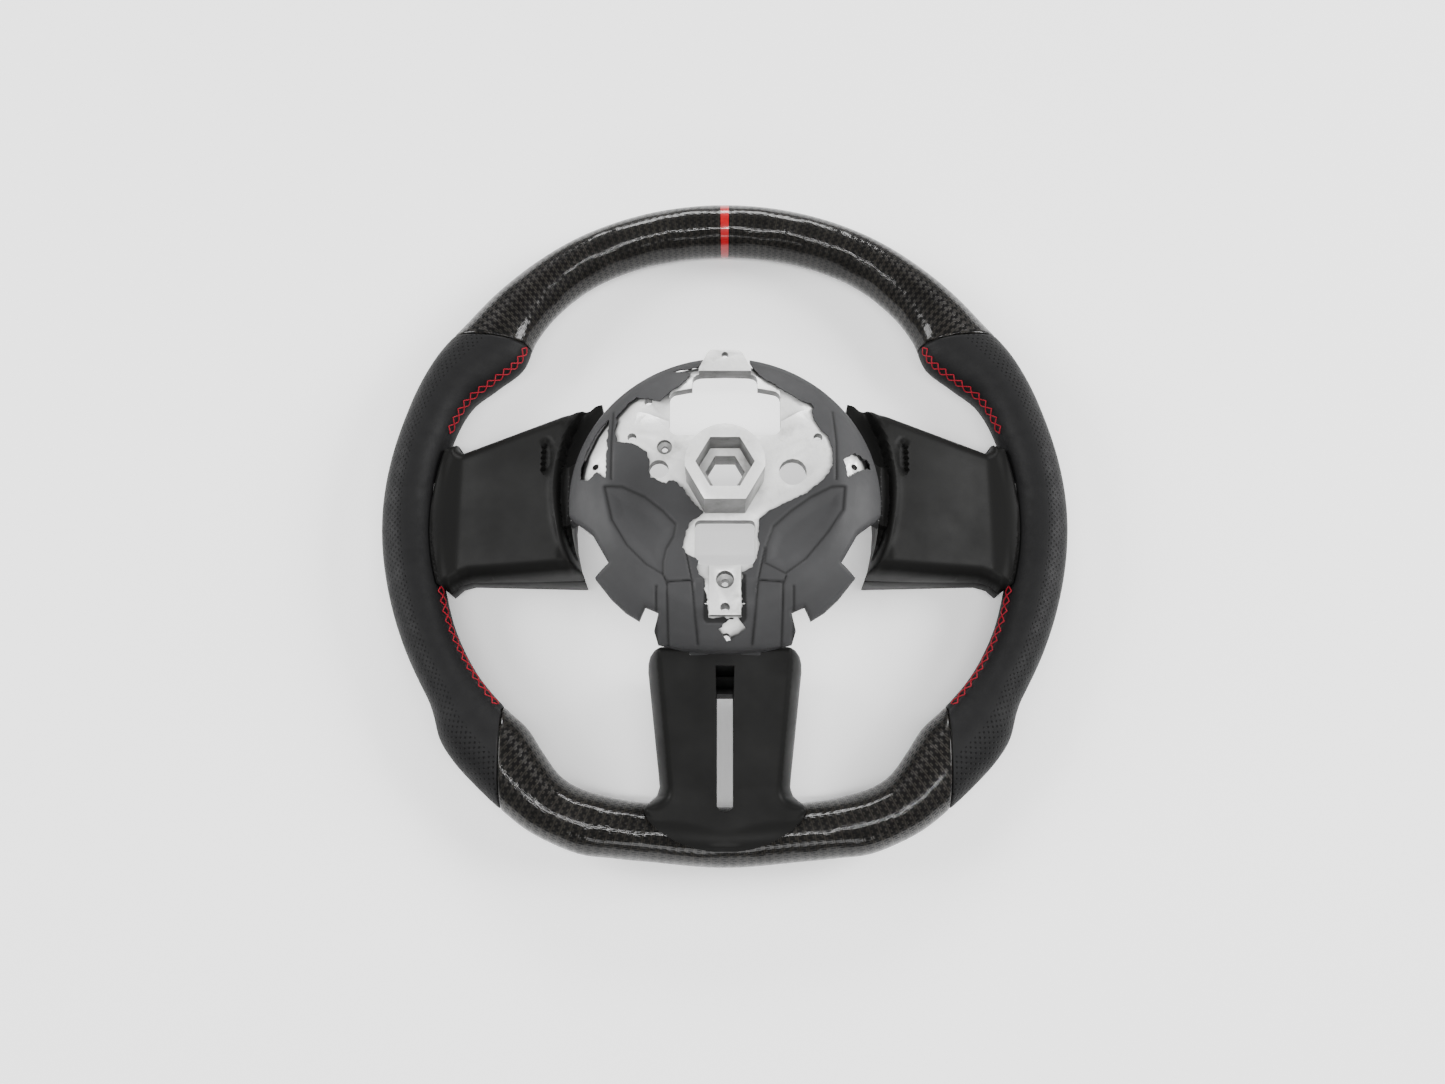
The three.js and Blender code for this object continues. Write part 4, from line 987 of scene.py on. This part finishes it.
def rolled(to_edge, radius, drop):
    """How far a surface falls near its edge: a quarter ellipse, radius wide and drop high."""
    share = np.clip(1.0 - to_edge / radius, 0.0, 1.0)
    return drop * (1.0 - np.sqrt(1.0 - share**2))


def parting(reach):
    """Height of the line between a cover and its trim: 25 mm beside the hub, falling to 15."""
    return 25.0 - 10.0 * (reach - 75.0) / 75.0


def above_rim(x, y, clearance):
    """Height of the rim's column-side surface over a point in plan, or zero beside the rim."""
    theta = np.arctan2(x, y)
    outer, inner = rim_radius(theta, 1), rim_radius(theta, 2)
    share = (np.hypot(x, y) - (outer + inner) / 2.0) / ((outer - inner) / 2.0 + clearance)
    crown = (RIM_HALF_DEPTH + clearance) * np.sqrt(np.clip(1.0 - share**2, 0.0, 1.0))
    return np.where(np.abs(share) < 1.0, RIM_HALF_DEPTH + crown, 0.0)


side_plan = np.vstack([
    [(73.2, -39.7), (100, -39.4), (131, -38.6), (135.5, -39.8), (139, -42), (141.5, -44.6)],
    arc((28.2, -4.0), 125.2, -17, 17, 18),
    [(142.6, 37.2), (140.6, 33.4), (138.2, 32), (100, 41.7)],
    [(73.8, 48.3), (68, 50.2), (63.8, 51.2)],
    arc((0, DISC_Y), DISC_RADIUS + 0.5, 37, -23.6, 24),
])


def side_top(x, y, to_edge):
    """Slopes from the hub down to the rim, with the lip and groove by distance from the lip's
    centre, an oval access hollow, and rolled edges. It never sinks below the grip under it."""
    crown = np.clip(1.0 - ((y - 3.0) / SIDE_HALF_WIDTH) ** 2, 0.0, 1.0)
    height = np.interp(x, SIDE_REACH, SIDE_HEIGHT) - SIDE_CROWN * (1.0 - crown)
    from_lip = np.hypot(x, y - SIDE_LIP_Y) - SIDE_LIP_RADIUS
    height += LIP_HEIGHT * np.exp(-(((from_lip - 1.6) / 1.5) ** 2))
    height -= GROOVE_DEPTH * eased(-from_lip, 0.0, 2.2)
    hollow = np.hypot((x - 91.8) / 3.6, (y - 21.5) / 10.5) + 0.6 * (x > 93.4)
    height -= HOLLOW_DEPTH * (1.0 - eased(hollow, 0.75, 1.0))
    edge_x = np.clip((148.0 - x) / 6.0, 0.0, 1.0)
    height -= rolled(to_edge, SIDE_EDGE_ROLL, 9.0 * edge_x + 1.5) * eased(from_lip, -5.0, 1.0)
    arm = np.where(np.abs(y) < 16.0, np.interp(x - SIDE_NECK, NECK_REACH, NECK_TOP) + 0.7, 0.0)
    return np.max([height, arm, above_rim(x, y, 0.5) + 0.8], axis=0)


def side_bottom(x, y, to_edge):
    """The parting line, or just clear of the grip where the cover lies on it."""
    return np.maximum(parting(x) + 0.2, above_rim(x, y, 0.3))


cover_right = plan_solid(
    "spoke_cover_right", resampled(side_plan, 1.1), [], 1.8, side_top, side_bottom, spoke_plastic,
    edge_band=8.0, sharp_deg=50.0,
)
cover_left = mirrored_copy(cover_right, "spoke_cover_left")
for cover, node in ((cover_right, "right_spoke_cover"), (cover_left, "left_spoke_cover")):
    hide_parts(node)
    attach(cover, "root")

# ---- lower spoke cover -------------------------------------------------------------------------
# The lower spoke's cover has drafted sides, a long slot right through it, and a flared saddle
# that laps over the lower rim. A shadow gap parts it from the hub skin.
lower_plan = both_sides(np.vstack([
    [(5, -175.6), (14, -174.2), (24, -170.6), (32, -165.8), (37, -161), (39.4, -156.6)],
    [(38.6, -153.2)],
    [(36, -150.4), (33.8, -147.6), (32.5, -143.5), (33.4, -132), (38.4, -88), (38.2, -84)],
    [(37.2, -81.2), (34.8, -79.4), (31, -78.6), (20, -78.6), (8, -78.6)],
]))
slot_plan = both_sides(np.vstack([
    arc((0, -153.2), 4.0, -80, 0, 6), [(4.0, -140), (4.0, -120), (4.6, -88)],
]))


# Height of its middle line, and half the width of its flat, at these distances below the axis.
LOWER_REACH, LOWER_HEIGHT = (78.0, 146.0, 152.0, 180.0), (51.7, 35.3, 34.3, 32.3)
SHOULDER_REACH, SHOULDER_HALF = (84.0, 149.0, 157.0, 176.0), (31.8, 25.8, 30.0, 22.0)
SIDE_FALL, FALL_WIDTH, FALL_POWER = 15.0, 6.6, 1.35
FALL_ENDS = (143.0, 156.0)


def lower_top(x, y, to_edge):
    """Slopes from the hub down to the rim. The two sides fall away at a draft over 7 mm, the
    middle is slightly raised, and the saddle follows the rim's crown."""
    side = np.abs(x)
    fall = np.clip((side - np.interp(-y, SHOULDER_REACH, SHOULDER_HALF)) / FALL_WIDTH, 0.0, 1.3)
    height = np.interp(-y, LOWER_REACH, LOWER_HEIGHT) - 0.9 * eased(side, 0.0, 22.0)
    height -= SIDE_FALL * fall**FALL_POWER * (1.0 - eased(-y, *FALL_ENDS))
    height -= rolled(to_edge, 3.0, 2.6)
    return np.maximum(height, above_rim(x, y, 0.5) + 0.9)


def lower_bottom(x, y, to_edge):
    """The parting line, or just clear of the lower shell where the saddle laps it."""
    return np.maximum(parting(-y) + 0.2, above_rim(x, y, 0.3))


lower_cover = plan_solid(
    "spoke_cover_lower", resampled(lower_plan, 1.0), [resampled(slot_plan, 1.0)], 1.8,
    lower_top, lower_bottom, spoke_plastic, edge_band=5.0, sharp_deg=50.0,
)
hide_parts("lower_spoke_cover")
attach(lower_cover, "root")

# ---- driver-side trims and screws --------------------------------------------------------------
# Flat trims close the spokes on the driver's side, each held by two black self-tapping screws.
# The steel ring and the foam stay hidden inside the rim.
for trim_side in ("left", "right", "lower"):
    trim = softened(f"{trim_side}_spoke_trim", f"spoke_trim_{trim_side}", spoke_plastic, 0.8)


def metal_finish(name, color, roughness):
    """Dark or bright turned steel with a fine streaked roughness."""
    material, shader = principled(name, color, roughness, 1.0)
    nodes, links = material.node_tree.nodes, material.node_tree.links
    place = nodes.new("ShaderNodeTexCoord").outputs["Object"]
    streaks = noise_of(nodes, links, place, 600.0, 3.0)
    low, high = (roughness - 0.1,) * 3, (roughness + 0.15,) * 3
    links.new(ramp_of(nodes, links, streaks, [(0.3, low), (0.7, high)]), shader.inputs["Roughness"])
    bump_of(nodes, links, shader, streaks, 0.00005, 0.4)
    return material


screw_steel = metal_finish("screw_steel", (0.05, 0.05, 0.052), 0.4)
ring_steel = metal_finish("ring_steel", (0.5, 0.5, 0.5), 0.35)
foam = moulded_finish("rim_foam", (0.045, 0.045, 0.043), 0.9, 400.0, 0.0003, 0.2)
carried_over = {"rim_ring": ring_steel, "rim_foam": foam}
for trim_side in ("left", "right", "lower"):
    for number in (1, 2):
        carried_over[f"{trim_side}_spoke_screw_{number}"] = screw_steel
for node, finish in carried_over.items():
    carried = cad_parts[node]
    carried.data.materials.clear()
    carried.data.materials.append(finish)

bpy.context.view_layer.update()
